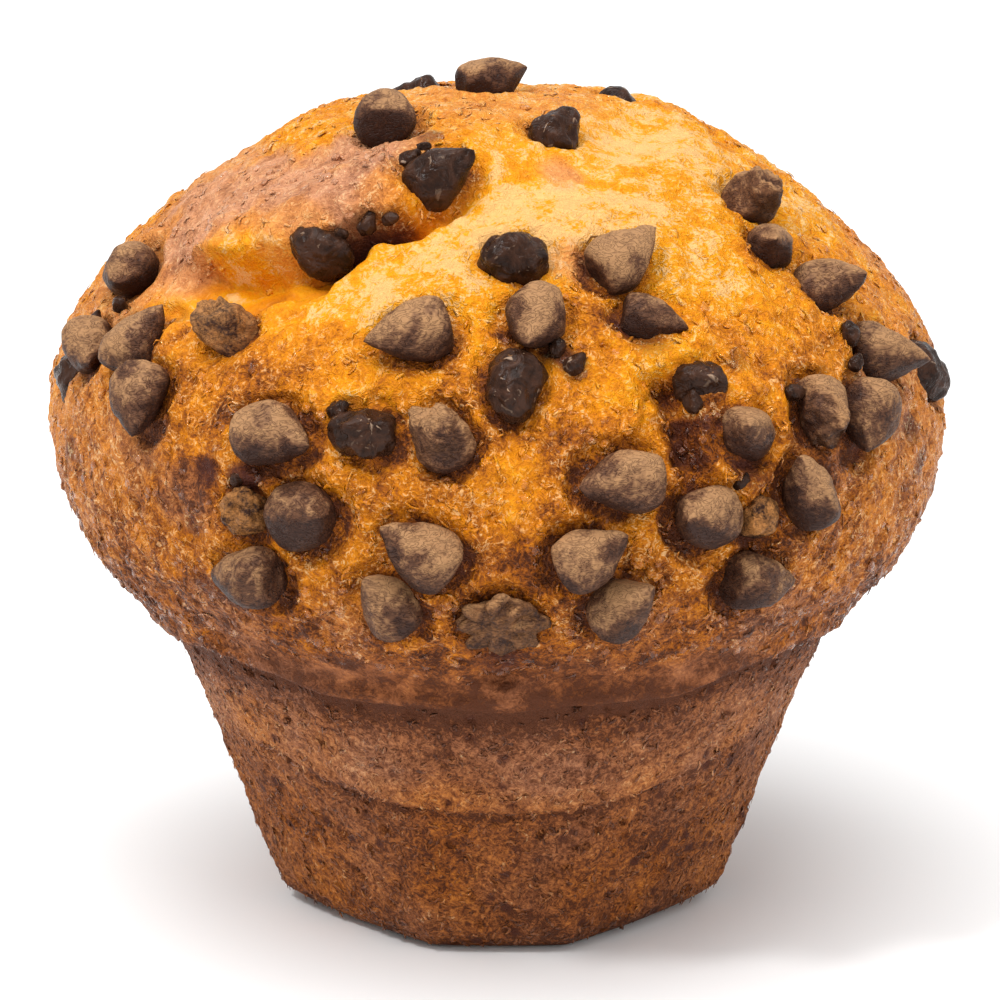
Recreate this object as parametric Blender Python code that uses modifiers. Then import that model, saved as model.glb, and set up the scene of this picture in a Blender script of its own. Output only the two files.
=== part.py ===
"""A domed chocolate chip muffin: one solid cake, and a node for each chocolate chip set in it.

Metres, +Z up. The cake stands on its flat foot, and its shown side faces -Y.
A place on the cake is given by two angles about a middle point on its axis:
"around" turns about the axis from -Y towards +X, and "down" tilts from the crown.
"""

import math
import random
from collections import Counter, namedtuple

import bmesh
import bpy
from mathutils import Matrix, Vector, noise
from mathutils.bvhtree import BVHTree
from mathutils.geometry import interpolate_bezier

MM = 0.001

# Driving dimensions of the cake
CAKE_HEIGHT = 88.4 * MM
SHOULDER_RADIUS = 22.0 * MM
SHOULDER_HEIGHT = 84.6 * MM
CAP_RADIUS = 47.5 * MM
CAP_HEIGHT = 53.7 * MM
NECK_RADIUS = 34.9 * MM
NECK_HEIGHT = 30.3 * MM
FOOT_RADIUS = 24.7 * MM
FOOT_ROUNDING = 3.2 * MM
FOOT_INSET = 5.1 * MM
MIDDLE_HEIGHT = 45.0 * MM
SEGMENTS = 48

# The outline's slope at the shoulder and under the cap, in degrees from the level
SHOULDER_SLOPE = 34
UNDERCUT_SLOPE = 61.4

# How far the outline leads straight on before and after each of its points, and its rows
CROWN_LEAD = 8.7 * MM
SHOULDER_LEADS = (3.0 * MM, 9.0 * MM)
WIDEST_LEADS = (16.3 * MM, 14.4 * MM)
NECK_LEADS = (8.3 * MM, 4.0 * MM)
CORNER_LEADS = (9.0 * MM, 1.6 * MM)
FOOT_LEAD = 2.4 * MM
OUTLINE_ROWS = (3, 7, 6, 4, 3)
AXIS_MERGE = 0.05 * MM
SEAM_MARGIN = 0.1 * MM
SHARP_ANGLE = 40

# The tin's crease round the wall, and the foot's flats, which fade out towards the neck
CREASE_HEIGHT = 18.3 * MM
CREASE_STEP = 0.4 * MM
CREASE_RISE = 3.0 * MM
FOOT_CORNERS = (-79, -19, 19, 79, 129, 180, 231)
FLAT_STRENGTH = 0.75

# The split in the crust: a trough with a ledge on its upper side, and how uneven the rest is
SPLIT_ROUTE = ((-76, 56), (-52, 55), (-34, 51), (-19, 43), (0, 33), (32, 26), (70, 22))
SPLIT_DEPTH = 1.8 * MM
SPLIT_WIDTH = 5.0 * MM
CAP_LEAN = -0.7 * MM
LUMP_HEIGHT = 0.7 * MM
LUMP_SIZE = 22.0 * MM

# A chocolate chip, and the gap between it and the cake
CHIP_LENGTH = 8.4 * MM
CHIP_RADIUS = 3.35 * MM
CHIP_SEGMENTS = 8
CHIP_STRETCH = (0.96, 1.04)
CHIP_BEND = 0.9 * MM
CHIP_SEED = 4
GAP = 0.3 * MM
CORNER_GROWTH = 1.15

# Each kind of chip, as rows of (share of the length, share of the radius) from tip to base
CHIP_ROWS = {
    "whole": ((1.0, 0.0), (0.87, 0.42), (0.58, 0.83), (0.25, 1.0), (0.04, 0.82), (0.0, 0.0)),
    "melted": ((0.92, 0.0), (0.82, 0.62), (0.58, 0.95), (0.3, 0.98), (0.1, 0.66), (0.04, 0.0)),
    "broken": ((0.72, 0.0), (0.8, 0.48), (0.56, 0.86), (0.25, 1.0), (0.04, 0.82), (0.0, 0.0)),
    "flat": ((0.62, 0.0), (0.62, 0.8), (0.55, 1.3), (0.45, 1.34), (0.38, 0.9), (0.36, 0.0)),
}

# Where each chip of the shown side sits. "turn" is the way its tip points, clockwise from the
# crown as seen from outside, "lift" raises the tip off the crust, and "rise" is the height of
# the chip's middle over the crust, in millimetres.
Place = namedtuple("Place", "kind around down turn lift rise size", defaults=(1.0,))
PLACES = (
    # On and round the crown
    Place("whole", -174, 5.0, -95, 10, 0.7, 0.95),
    Place("whole", -50, 20.2, -50, 6, 1.3, 1.0),
    Place("melted", -128, 15.0, 0, 60, -1.5),
    Place("melted", 24.5, 17.2, 30, 60, 0.2, 0.8),
    Place("melted", 114, 18.5, 0, 60, -2.3, 0.9),
    # Along the split
    Place("whole", -15.2, 29.6, 55, 35, 0.5, 0.95),
    Place("melted", -35.6, 45.2, -95, 8, -0.7, 0.95),
    Place("melted", 2.0, 44.8, -95, 5, -0.3, 0.95),
    # High on the right
    Place("broken", 62.5, 40.2, -20, 88, 1.7, 0.95),
    Place("whole", 54.0, 47.9, -112, 40, 0.5, 0.82),
    Place("whole", 60.3, 55.4, 175, 75, 1.1, 0.94),
    Place("whole", 22.3, 46.0, 70, 20, 1.2, 0.96),
    Place("whole", 23.9, 54.9, 115, 5, -0.5, 0.78),
    Place("whole", 64.1, 66.2, 135, 45, 1.0),
    Place("melted", 78.3, 71.5, 175, 10, -1.6),
    # High on the left
    Place("whole", -78, 57.6, 110, 20, 1.1, 0.95),
    Place("whole", -71, 67.5, 105, 10, 0.8, 0.9),
    Place("melted", -79, 72.7, 95, 10, -2.0, 0.9),
    Place("whole", -59.5, 63.3, -5, 20, 0.6, 0.95),
    Place("whole", -51.5, 70.8, 165, 10, 1.2, 0.95),
    Place("broken", -42.3, 59.0, 35, 80, 1.3, 0.94),
    Place("whole", -13.3, 57.2, -115, 10, 0.9, 1.03),
    # Down the middle
    Place("whole", 5.0, 55.6, -170, 25, 1.4),
    Place("melted", 2.1, 63.4, 180, 10, -0.2, 0.95),
    Place("melted", -17.5, 69.5, -95, 10, -0.1, 0.95),
    Place("broken", -7.8, 68.3, -30, 50, 0.9, 0.99),
    Place("whole", 14, 74.5, -90, 5, 1.2, 1.05),
    # Low on the right
    Place("broken", 43.9, 70.8, -150, 20, 1.0, 0.95),
    Place("whole", 53, 72.7, -140, 10, 1.1),
    Place("whole", 31.1, 70.7, -93, 62, 1.3, 0.96),
    Place("melted", 27.2, 64.2, -85, 10, -1.0, 0.8),
    Place("whole", 39.8, 78.3, -35, 10, 1.1, 0.95),
    Place("whole", 24.4, 79.5, -80, 40, 1.1, 1.05),
    Place("broken", 33.3, 80.4, -20, 60, 0.2, 0.78),
    Place("whole", 34.5, 88.8, 100, 5, 0.9, 0.95),
    # Low on the left
    Place("whole", -28, 70.4, 90, 10, 1.1, 1.05),
    Place("whole", -23.2, 79.3, 80, 40, 1.1, 1.06),
    Place("broken", -32, 80.0, 25, 60, 0.3, 0.8),
    Place("whole", -33.2, 88.3, -100, 5, 0.9, 0.95),
    # The pairs under the front of the cap, and the flat one between them
    Place("whole", -10.3, 82.5, -60, 10, 1.1, 1.0),
    Place("whole", 11.3, 82.5, 60, 10, 1.1, 1.0),
    Place("whole", -14.6, 88.9, -15, 15, 0.7, 0.93),
    Place("whole", 15.0, 88.9, 15, 15, 0.7, 0.93),
    Place("flat", 0.4, 92.8, 0, 90, -0.3, 0.9),
)

# The chips of the far side, spread along a spiral by the golden angle
FAR_COUNT = 15
FAR_SWEEP = 42
FAR_SPREAD = 20
FAR_TOP = 44
FAR_BOTTOM = 88
FAR_START = 0.3
FAR_LIFT = (5, 35)
FAR_BROKEN_LIFT = 70
FAR_RISE = (0.8, 1.3)
FAR_MELTED_RISE = 0.1
FAR_SIZE = (0.92, 1.08)
FAR_SEED = 12

CRUST_COLOR = (0.42, 0.19, 0.06, 1)
CHIP_COLOR = (0.09, 0.045, 0.03, 1)
MELTED_COLOR = (0.035, 0.018, 0.015, 1)


def clear_scene():
    for obj in list(bpy.data.objects):
        bpy.data.objects.remove(obj, do_unlink=True)


def new_collection(name):
    collection = bpy.data.collections.new(name)
    bpy.context.scene.collection.children.link(collection)
    return collection


def new_material(name, color, roughness):
    material = bpy.data.materials.new(name)
    material.use_nodes = True
    shader = material.node_tree.nodes["Principled BSDF"]
    shader.inputs["Base Color"].default_value = color
    shader.inputs["Roughness"].default_value = roughness
    shader.inputs["Metallic"].default_value = 0.0
    return material


def outward(around):
    """The level direction that points out of the cake at this angle."""
    angle = math.radians(around)
    return Vector((math.sin(angle), -math.cos(angle), 0))


def direction(around, down):
    """The direction from the cake's middle point to a place on it."""
    tilt = math.radians(down)
    return outward(around) * math.sin(tilt) + Vector((0, 0, math.cos(tilt)))


def cake_profile():
    """The cake's outline at +X, from the crown down to the middle of the foot."""
    up = Vector((0, 0, 1))
    out = Vector((1, 0, 0))
    slope = Matrix.Rotation(math.radians(SHOULDER_SLOPE), 3, "Y") @ out
    undercut = Matrix.Rotation(math.radians(-UNDERCUT_SLOPE), 3, "Y") @ out
    crown = up * CAKE_HEIGHT
    shoulder = Vector((SHOULDER_RADIUS, 0, SHOULDER_HEIGHT))
    widest = Vector((CAP_RADIUS, 0, CAP_HEIGHT))
    neck = Vector((NECK_RADIUS, 0, NECK_HEIGHT))
    corner = Vector((FOOT_RADIUS, 0, FOOT_ROUNDING))
    foot = Vector((FOOT_RADIUS - FOOT_INSET, 0, 0))
    lean = (neck - corner).normalized()
    stretches = (
        (crown, crown + out * CROWN_LEAD, shoulder - slope * SHOULDER_LEADS[0], shoulder),
        (shoulder, shoulder + slope * SHOULDER_LEADS[1], widest + up * WIDEST_LEADS[0], widest),
        (widest, widest - up * WIDEST_LEADS[1], neck + undercut * NECK_LEADS[0], neck),
        (neck, neck - undercut * NECK_LEADS[1], corner + lean * CORNER_LEADS[0], corner),
        (corner, corner - lean * CORNER_LEADS[1], foot + out * FOOT_LEAD, foot),
    )
    points = [crown]
    for stretch, rows in zip(stretches, OUTLINE_ROWS):
        points += interpolate_bezier(*stretch, rows + 1)[1:]
    return points + [Vector((0, 0, 0))]


def turned(points, steps):
    """A mesh object made by turning an outline about Z with a Screw modifier."""
    mesh = bpy.data.meshes.new("cake")
    mesh.from_pydata(points, [(row, row + 1) for row in range(len(points) - 1)], [])
    profile = bpy.data.objects.new("cake_profile", mesh)
    bpy.context.scene.collection.objects.link(profile)
    screw = profile.modifiers.new("Turn", "SCREW")
    screw.steps = steps
    screw.render_steps = steps
    screw.use_merge_vertices = True
    screw.merge_threshold = AXIS_MERGE
    graph = bpy.context.evaluated_depsgraph_get()
    solid = bpy.data.meshes.new_from_object(profile.evaluated_get(graph))
    bpy.data.objects.remove(profile, do_unlink=True)
    solid.name = "cake"
    return bpy.data.objects.new("cake", solid)


def flat_share(around):
    """How far out the foot lies between two of its corners, as a share of the corners' radius."""
    corners = FOOT_CORNERS + (FOOT_CORNERS[0] + 360,)
    angle = (around - corners[0]) % 360 + corners[0]
    for start, end in zip(corners, corners[1:]):
        if angle <= end:
            half = math.radians(end - start) / 2
            return math.cos(half) / math.cos(math.radians(angle - start) - half)
    return 1.0


def wall_shape(point, around):
    """A point of the turned wall, with the foot's flats and the crease worked in."""
    height = point.z / NECK_HEIGHT
    pull = FLAT_STRENGTH * (1 - height) * (1 - flat_share(around))
    reach = 1 - pull
    crease = CREASE_HEIGHT + CREASE_RISE * (1 - math.cos(math.radians(around)))
    fade = max(0.0, math.cos(math.radians(around)))
    if point.z < crease:
        reach -= fade * CREASE_STEP / NECK_RADIUS
    return Vector((point.x * reach, point.y * reach, point.z))


def split_route():
    middle = Vector((0, 0, MIDDLE_HEIGHT))
    return [middle + direction(*place) * CAP_RADIUS for place in SPLIT_ROUTE]


def distance_to(route, point):
    """The distance from a point to a chain of straight stretches."""
    nearest = math.inf
    for start, end in zip(route, route[1:]):
        along = end - start
        share = (point - start).dot(along) / along.length_squared
        foot = start + along * min(1.0, max(0.0, share))
        nearest = min(nearest, (point - foot).length)
    return nearest


def cap_shape(point, route):
    """A point of the turned cap, with the split and the uneven rise worked in."""
    middle = Vector((0, 0, MIDDLE_HEIGHT))
    ray = (point - middle).normalized()
    depth = SPLIT_DEPTH * math.exp(-((distance_to(route, middle + ray * CAP_RADIUS) / SPLIT_WIDTH) ** 2))
    lump = LUMP_HEIGHT * noise.noise(point / LUMP_SIZE)
    lean = Vector((CAP_LEAN, 0, 0)) * (point.z - NECK_HEIGHT) / (CAKE_HEIGHT - NECK_HEIGHT)
    return point + ray * (lump - depth) + lean


def make_cake():
    cake = turned(cake_profile(), SEGMENTS)
    route = split_route()
    for vertex in cake.data.vertices:
        around = math.degrees(math.atan2(vertex.co.x, -vertex.co.y))
        if vertex.co.z < NECK_HEIGHT - SEAM_MARGIN:
            vertex.co = wall_shape(vertex.co, around)
        else:
            vertex.co = cap_shape(vertex.co, route)
    cake.data.shade_smooth()
    cake.data.set_sharp_from_angle(angle=math.radians(SHARP_ANGLE))
    return cake


def chip_mesh(kind, size, stretch, bend):
    """A chip with its tip at +Z and its middle at the origin, shaped from a UV sphere's rows."""
    rows = CHIP_ROWS[kind]
    shape = bmesh.new()
    bmesh.ops.create_uvsphere(shape, u_segments=CHIP_SEGMENTS, v_segments=len(rows) - 1, radius=1)
    for vertex in shape.verts:
        row = round(math.acos(max(-1.0, min(1.0, vertex.co.z))) / math.pi * (len(rows) - 1))
        along, across = rows[row]
        side = Vector((vertex.co.x, vertex.co.y, 0))
        if side.length > 1e-6:
            side.normalize()
        lean = Vector((bend * along ** 3, 0, 0))
        height = (along - 0.5) * CHIP_LENGTH * stretch
        vertex.co = (side * across * CHIP_RADIUS + lean + Vector((0, 0, height))) * size
    bmesh.ops.recalc_face_normals(shape, faces=shape.faces)
    mesh = bpy.data.meshes.new("chip")
    shape.to_mesh(mesh)
    shape.free()
    mesh.shade_smooth()
    return mesh


def chip_axis(normal, turn, lift):
    """The way a chip's tip points, from its turn on the crust and its lift off it."""
    right = Vector((0, 0, 1)).cross(normal)
    if right.length < 1e-4:
        right = Vector((1, 0, 0))
    right.normalize()
    uphill = normal.cross(right)
    flat = uphill * math.cos(math.radians(turn)) + right * math.sin(math.radians(turn))
    return flat * math.cos(math.radians(lift)) + normal * math.sin(math.radians(lift))


def chip_matrix(crust, place):
    """Where a chip sits on the cake's crust."""
    middle = Vector((0, 0, MIDDLE_HEIGHT))
    spot, normal, _, _ = crust.ray_cast(middle, direction(place.around, place.down))
    axis = chip_axis(normal, place.turn, place.lift)
    spin = Vector((0, 0, 1)).rotation_difference(axis)
    return Matrix.Translation(spot + normal * place.rise * MM) @ spin.to_matrix().to_4x4()


def far_places():
    """The chips of the side away from -Y, spread evenly and then stirred a little."""
    stir = random.Random(FAR_SEED)
    golden = (math.sqrt(5) - 1) / 2
    for count in range(FAR_COUNT):
        share = (count + 0.5) / FAR_COUNT
        down = FAR_TOP + (FAR_BOTTOM - FAR_TOP) * share
        side = 2 * ((count * golden + FAR_START) % 1) - 1
        around = 180 + side * (FAR_SWEEP + FAR_SPREAD * share)
        kind = ("whole", "melted", "whole", "broken")[count % 4]
        turn = stir.uniform(-180, 180)
        lift = FAR_BROKEN_LIFT if kind == "broken" else stir.uniform(*FAR_LIFT)
        rise = FAR_MELTED_RISE if kind == "melted" else stir.uniform(*FAR_RISE)
        yield Place(kind, around, down, turn, lift, rise, stir.uniform(*FAR_SIZE))


def make_socket(chip, collection):
    """The hollow that a chip sits in: the chip's own shape, grown by the gap."""
    mesh = chip.data.copy()
    normals = [vertex.normal.copy() for vertex in mesh.vertices]
    for vertex, normal in zip(mesh.vertices, normals):
        vertex.co += normal * GAP * CORNER_GROWTH
    socket = bpy.data.objects.new(chip.name.replace("chip", "socket"), mesh)
    socket.matrix_world = chip.matrix_world
    socket.hide_render = True
    socket.display_type = "WIRE"
    collection.objects.link(socket)


def make_chips(crust, collection, sockets):
    stir = random.Random(CHIP_SEED)
    numbers = Counter()
    materials = {
        False: new_material("chocolate", CHIP_COLOR, 0.6),
        True: new_material("melted_chocolate", MELTED_COLOR, 0.35),
    }
    for place in PLACES + tuple(far_places()):
        numbers[place.kind] += 1
        stretch = stir.uniform(*CHIP_STRETCH)
        bend = stir.uniform(0, CHIP_BEND)
        mesh = chip_mesh(place.kind, place.size, stretch, bend)
        mesh.materials.append(materials[place.kind in ("melted", "flat")])
        chip = bpy.data.objects.new(f"chip_{place.kind}_{numbers[place.kind]:02d}", mesh)
        chip.matrix_world = chip_matrix(crust, place)
        collection.objects.link(chip)
        make_socket(chip, sockets)


def cut_sockets(cake, sockets):
    cut = cake.modifiers.new("Sockets", "BOOLEAN")
    cut.operation = "DIFFERENCE"
    cut.operand_type = "COLLECTION"
    cut.collection = sockets
    cut.solver = "EXACT"


def centre_on_origin(objects, stand):
    """Puts every piece under one empty, moved so that the whole is centred over the origin."""
    corners = [obj.matrix_world @ vertex.co for obj in objects for vertex in obj.data.vertices]
    shift = Vector((0, 0, 0))
    for axis in range(2):
        values = [corner[axis] for corner in corners]
        shift[axis] = -(min(values) + max(values)) / 2
    for obj in bpy.data.objects:
        if obj is not stand:
            obj.parent = stand
    stand.location = shift


def main():
    clear_scene()
    collection = new_collection("muffin")
    sockets = new_collection("sockets")
    sockets.hide_render = True
    cake = make_cake()
    cake.data.materials.append(new_material("crust", CRUST_COLOR, 0.75))
    collection.objects.link(cake)
    shape = bmesh.new()
    shape.from_mesh(cake.data)
    crust = BVHTree.FromBMesh(shape)
    shape.free()
    make_chips(crust, collection, sockets)
    cut_sockets(cake, sockets)
    stand = bpy.data.objects.new("muffin_origin", None)
    collection.objects.link(stand)
    centre_on_origin(list(collection.objects)[:-1], stand)


main()
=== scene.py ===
"""Bakes the finished muffin around its fixed frame: the cap and the wall of the cake, the chocolate
chips set in it, the loose crumbs on it, and a plain stage.

Metres, +Z up. The cake stands on its foot and its shown side faces -Y. A place on the cap is given
by two angles about a middle point on its axis, in degrees: "around" turns about the axis from -Y
towards +X, and "down" tilts from the crown.
"""

import math
import random
from itertools import product

import bmesh
import bpy
import numpy as np
from bpy.props import FloatProperty, FloatVectorProperty, IntProperty, PointerProperty
from bpy.types import Operator, Panel, PropertyGroup
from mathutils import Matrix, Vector, noise
from mathutils.geometry import interpolate_bezier


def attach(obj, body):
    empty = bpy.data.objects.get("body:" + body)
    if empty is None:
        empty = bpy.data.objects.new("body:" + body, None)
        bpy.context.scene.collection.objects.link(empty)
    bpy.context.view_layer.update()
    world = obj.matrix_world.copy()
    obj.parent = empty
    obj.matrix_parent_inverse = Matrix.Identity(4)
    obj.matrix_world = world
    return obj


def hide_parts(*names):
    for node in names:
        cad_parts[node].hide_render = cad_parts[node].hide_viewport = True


bl_info = {
    "name": "Chocolate Chip Muffin",
    "version": (1, 0, 0),
    "blender": (4, 5, 0),
    "location": "3D View > Sidebar > Muffin",
    "description": "Bakes a domed chocolate chip muffin around its fixed frame",
    "category": "Object",
}

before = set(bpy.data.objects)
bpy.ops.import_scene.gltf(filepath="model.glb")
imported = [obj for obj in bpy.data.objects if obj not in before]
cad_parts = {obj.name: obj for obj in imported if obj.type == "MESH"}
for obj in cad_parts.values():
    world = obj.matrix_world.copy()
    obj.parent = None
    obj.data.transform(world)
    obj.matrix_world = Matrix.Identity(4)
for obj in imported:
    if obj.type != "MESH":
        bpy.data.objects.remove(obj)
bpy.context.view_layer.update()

MM = 0.001

# The cake's own outline, which the frame's cake was turned from
AXIS = Vector((0.300, 0.382, 0.0)) * MM
MIDDLE_HEIGHT = 45.0 * MM
CAKE_HEIGHT = 88.4 * MM
CAP_RADIUS = 47.5 * MM
CAP_HEIGHT = 53.7 * MM
SHOULDER = Vector((22.0, 0, 84.6)) * MM
NECK = Vector((34.9, 0, 30.3)) * MM
FOOT_RADIUS = 24.7 * MM
FOOT_ROUNDING = 3.2 * MM
CAP_LEAN = -0.7 * MM
LUMP_HEIGHT = 0.7 * MM
LUMP_SIZE = 22.0 * MM
FOOT_CORNERS = (-79, -19, 19, 79, 129, 180, 231)
FLAT_STRENGTH = 0.75

# A whole chip's own measures
CHIP_HALF_LENGTH = 4.1 * MM
CHIP_RADIUS = 3.3 * MM

# The split in the crust, and the edge of the plate that stands over its upper side
SPLIT_ROUTE = ((-76, 56), (-52, 55), (-34, 51), (-19, 43), (0, 33), (32, 26), (70, 22))
SPLIT_DEPTH = 1.8 * MM
SPLIT_WIDTH = 5.0 * MM
LEDGE_ROUTE = ((-66, 52), (-57, 50), (-49, 48.7), (-42, 47), (-36, 44.3), (-29.5, 41.5), (-25, 38.5), (-18, 36), (-12, 33), (-6, 26))
RIM_ROUTE = ((-60, 60), (-49, 58), (-42, 55.5), (-35, 52.5), (-29, 50), (-27.5, 45), (-22, 42), (-16, 39.5), (-8, 35))
STEP_ROUTE = ((19, 61), (23, 62), (25.5, 65), (26, 70), (26.5, 74.5), (24.5, 78))


def smooth(low, high, value):
    """0 below low, 1 above high, and an even S between them."""
    share = np.clip((value - low) / (high - low), 0.0, 1.0)
    return share * share * (3 - 2 * share)


def hashed(cells, seed):
    """A steady random number from 0 to 1 for each whole-number cell."""
    x, y, z = (cells[..., axis].astype(np.int64).astype(np.uint32) for axis in range(3))
    mixed = x * np.uint32(73856093) ^ y * np.uint32(19349663) ^ z * np.uint32(83492791)
    mixed ^= np.uint32(seed * 9781 + 1)
    for turn in (15, 12):
        mixed = (mixed ^ (mixed >> np.uint32(turn))) * np.uint32(2246822519)
    mixed ^= mixed >> np.uint32(16)
    return mixed.astype(np.float64) / 2**32


def grain(points, size, seed=0):
    """Smooth noise from about -1 to 1, with features of this size."""
    spot = points / size
    cells = np.floor(spot)
    part = spot - cells
    fade = part**3 * (part * (part * 6 - 15) + 10)
    total = np.zeros(len(points))
    for corner in product((0, 1), repeat=3):
        corner = np.array(corner, float)
        weight = np.prod(np.where(corner > 0, fade, 1 - fade), axis=1)
        slope = [hashed(cells + corner, seed + 31 * axis) * 2 - 1 for axis in range(3)]
        total += weight * sum(slope[axis] * (part[:, axis] - corner[axis]) for axis in range(3))
    return total * 1.6


def layered(points, size, seed=0, layers=3):
    """Noise in layers, each half as large and half as high as the one before."""
    return sum(grain(points, size / 2**layer, seed + 101 * layer) / 2**layer for layer in range(layers))


def ridges(points, size, seed=0):
    """Thin winding ridges: 1 on a ridge and 0 away from it."""
    return 1 - np.minimum(1.0, np.abs(grain(points, size, seed)) * 2.5)


def pits(points, size, seed=0):
    """The distance to the nearest scattered spot, as a share of the size, and a number for each spot."""
    spot = points / size
    cells = np.floor(spot)
    nearest = np.full(len(points), 9.0)
    kind = np.zeros(len(points))
    for step in product((-1, 0, 1), repeat=3):
        cell = cells + np.array(step, float)
        centre = cell + np.stack([hashed(cell, seed + 7 * axis) for axis in range(3)], axis=1)
        distance = np.linalg.norm(spot - centre, axis=1)
        closer = distance < nearest
        nearest = np.where(closer, distance, nearest)
        kind = np.where(closer, hashed(cell, seed + 77), kind)
    return nearest, kind


def direction(around, down):
    """The direction from the cake's middle to a place on it."""
    turn, tilt = np.radians(around), np.radians(down)
    side = np.sin(tilt)
    return np.stack([side * np.sin(turn), -side * np.cos(turn), np.cos(tilt) + 0 * turn], axis=-1)


def outline(count):
    """The cake's outline from the crown to the foot, as rows of (radius, height)."""
    up, out = Vector((0, 0, 1)), Vector((1, 0, 0))
    crown = up * CAKE_HEIGHT
    slope = Vector((math.cos(math.radians(34)), 0, -math.sin(math.radians(34))))
    widest = Vector((CAP_RADIUS, 0, CAP_HEIGHT))
    corner = Vector((FOOT_RADIUS, 0, FOOT_ROUNDING))
    foot = Vector((FOOT_RADIUS - 1.6 * FOOT_ROUNDING, 0, 0))
    lean = (NECK - corner).normalized()
    undercut = Vector((0.48, 0, 0.88))
    stretches = (
        (crown, crown + out * 8.7 * MM, SHOULDER - slope * 3 * MM, SHOULDER),
        (SHOULDER, SHOULDER + slope * 9 * MM, widest + up * 16.3 * MM, widest),
        (widest, widest - up * 14.4 * MM, NECK + undercut * 8.3 * MM, NECK),
        (NECK, NECK - undercut * 4 * MM, corner + lean * 9 * MM, corner),
        (corner, corner - lean * 1.6 * MM, foot + out * 2.4 * MM, foot),
    )
    points = [crown]
    for stretch in stretches:
        points += interpolate_bezier(*stretch, count + 1)[1:]
    return np.array([(point.x, point.z) for point in points])


OUTLINE = outline(60)
OUTLINE_DOWN = np.degrees(np.arctan2(OUTLINE[:, 0], OUTLINE[:, 1] - MIDDLE_HEIGHT))
OUTLINE_REACH = np.hypot(OUTLINE[:, 0], OUTLINE[:, 1] - MIDDLE_HEIGHT)
OUTLINE_TILT = np.degrees(np.arctan2(*(np.gradient(OUTLINE, axis=0) * (1, -1)).T[::-1]))


def route_distance(rays, route):
    """How far each ray's place is from a route over the cap, which side of it, and how far along."""
    spots = rays * CAP_RADIUS
    corners = direction(*np.array(route, float).T) * CAP_RADIUS
    nearest = np.full(len(rays), np.inf)
    side = np.zeros(len(rays))
    along = np.zeros(len(rays))
    for number, (start, end) in enumerate(zip(corners, corners[1:])):
        step = end - start
        share = np.clip((spots - start) @ step / (step @ step), 0, 1)
        offset = spots - start - share[:, None] * step
        distance = np.linalg.norm(offset, axis=1)
        closer = distance < nearest
        nearest = np.where(closer, distance, nearest)
        side = np.where(closer, np.sign(np.cross(step, offset) @ ((start + end) / 2)), side)
        along = np.where(closer, number + share, along)
    return nearest, side, along / (len(corners) - 1)


def lip_height(around):
    """How high over the foot the cap's lower lip hangs."""
    turns = (0, 12, 30, 38, 50, 70, 90, 120, 150, 180)
    heights = (30.3, 31.0, 31.0, 32.6, 33.8, 32.8, 30.9, 31.8, 33.0, 31.6)
    return np.interp(np.abs(around), turns, heights) * MM


def lip_strength(around):
    """How far the lip stands out over the wall, as a share of the most."""
    return np.interp(np.abs(around), (0, 45, 75, 95, 130, 180), (1.0, 1.0, 0.35, 0.2, 0.8, 1.0))


class Chip:
    """One chocolate chip of the frame: its middle, the way its tip points and its size."""

    def __init__(self, name, body=None):
        self.name = name
        self.kind = name.split("_")[1]
        if body:
            self.base, self.tip, self.radius = body
            return
        shape = bmesh.new()
        shape.from_mesh(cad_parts[name].data)
        bmesh.ops.remove_doubles(shape, verts=shape.verts, dist=0.01 * MM)
        spots = np.array([vertex.co for vertex in shape.verts])
        poles = []
        for vertex in shape.verts:
            if len(vertex.link_edges) != 8:
                continue
            lengths = [edge.calc_length() for edge in vertex.link_edges]
            ring = [edge.other_vert(vertex).co for edge in vertex.link_edges]
            middle = sum(ring, Vector()) / 8
            width = sum((spot - middle).length for spot in ring) / 8
            poles.append((np.std(lengths) / np.mean(lengths), width, vertex.co.copy()))
        poles = sorted(sorted(poles, key=lambda pole: pole[0])[:2], key=lambda pole: pole[1])
        if self.kind == "flat" or len(poles) < 2:
            middle = spots.mean(axis=0)
            axis = np.linalg.svd(spots - middle)[2][2]
            axis *= np.sign(axis @ (middle - np.array(AXIS) - (0, 0, MIDDLE_HEIGHT)))
            heights = (spots - middle) @ axis
            self.base, self.tip = middle + axis * heights.min(), middle + axis * heights.max()
        else:
            self.tip, self.base = (np.array(pole[2]) for pole in poles)
        axis = (self.tip - self.base) / np.linalg.norm(self.tip - self.base)
        offset = spots - self.base
        self.radius = np.linalg.norm(offset - np.outer(offset @ axis, axis), axis=1).max()
        shape.free()

    @property
    def axis(self):
        return (self.tip - self.base) / np.linalg.norm(self.tip - self.base)

    @property
    def middle(self):
        return (self.tip + self.base) / 2

    def clearance(self, points):
        """How far each point is from this chip's skin, taking it as a rounded rod."""
        start = self.base + self.axis * min(self.radius, np.linalg.norm(self.tip - self.base) / 2) * 0.8
        end = self.base + (self.tip - self.base) * 0.62
        step = end - start
        share = np.clip((points - start) @ step / (step @ step), 0, 1)
        width = self.radius * (1 - 0.2 * share)
        return np.linalg.norm(points - start - share[:, None] * step, axis=1) - width


def chips_of_frame():
    return [Chip(name) for name in sorted(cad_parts) if name.startswith("chip_")]


def laid_chip(name, around, down, turn, lift, size, rise):
    """A chip that the frame doesn't hold, laid on the cap: its size is a share of a whole chip's."""
    ray = direction(around, down)
    reach = np.interp(down, OUTLINE_DOWN, OUTLINE_REACH) + rise
    spot = np.array(AXIS + Vector((0, 0, MIDDLE_HEIGHT))) + ray * reach
    right = np.cross((0, 0, 1), ray)
    right /= np.linalg.norm(right)
    flat = np.cross(ray, right) * math.cos(turn) + right * math.sin(turn)
    half = (flat * math.cos(lift) + ray * math.sin(lift)) * CHIP_HALF_LENGTH * size
    return Chip(name, (spot - half, spot + half, CHIP_RADIUS * size))


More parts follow.
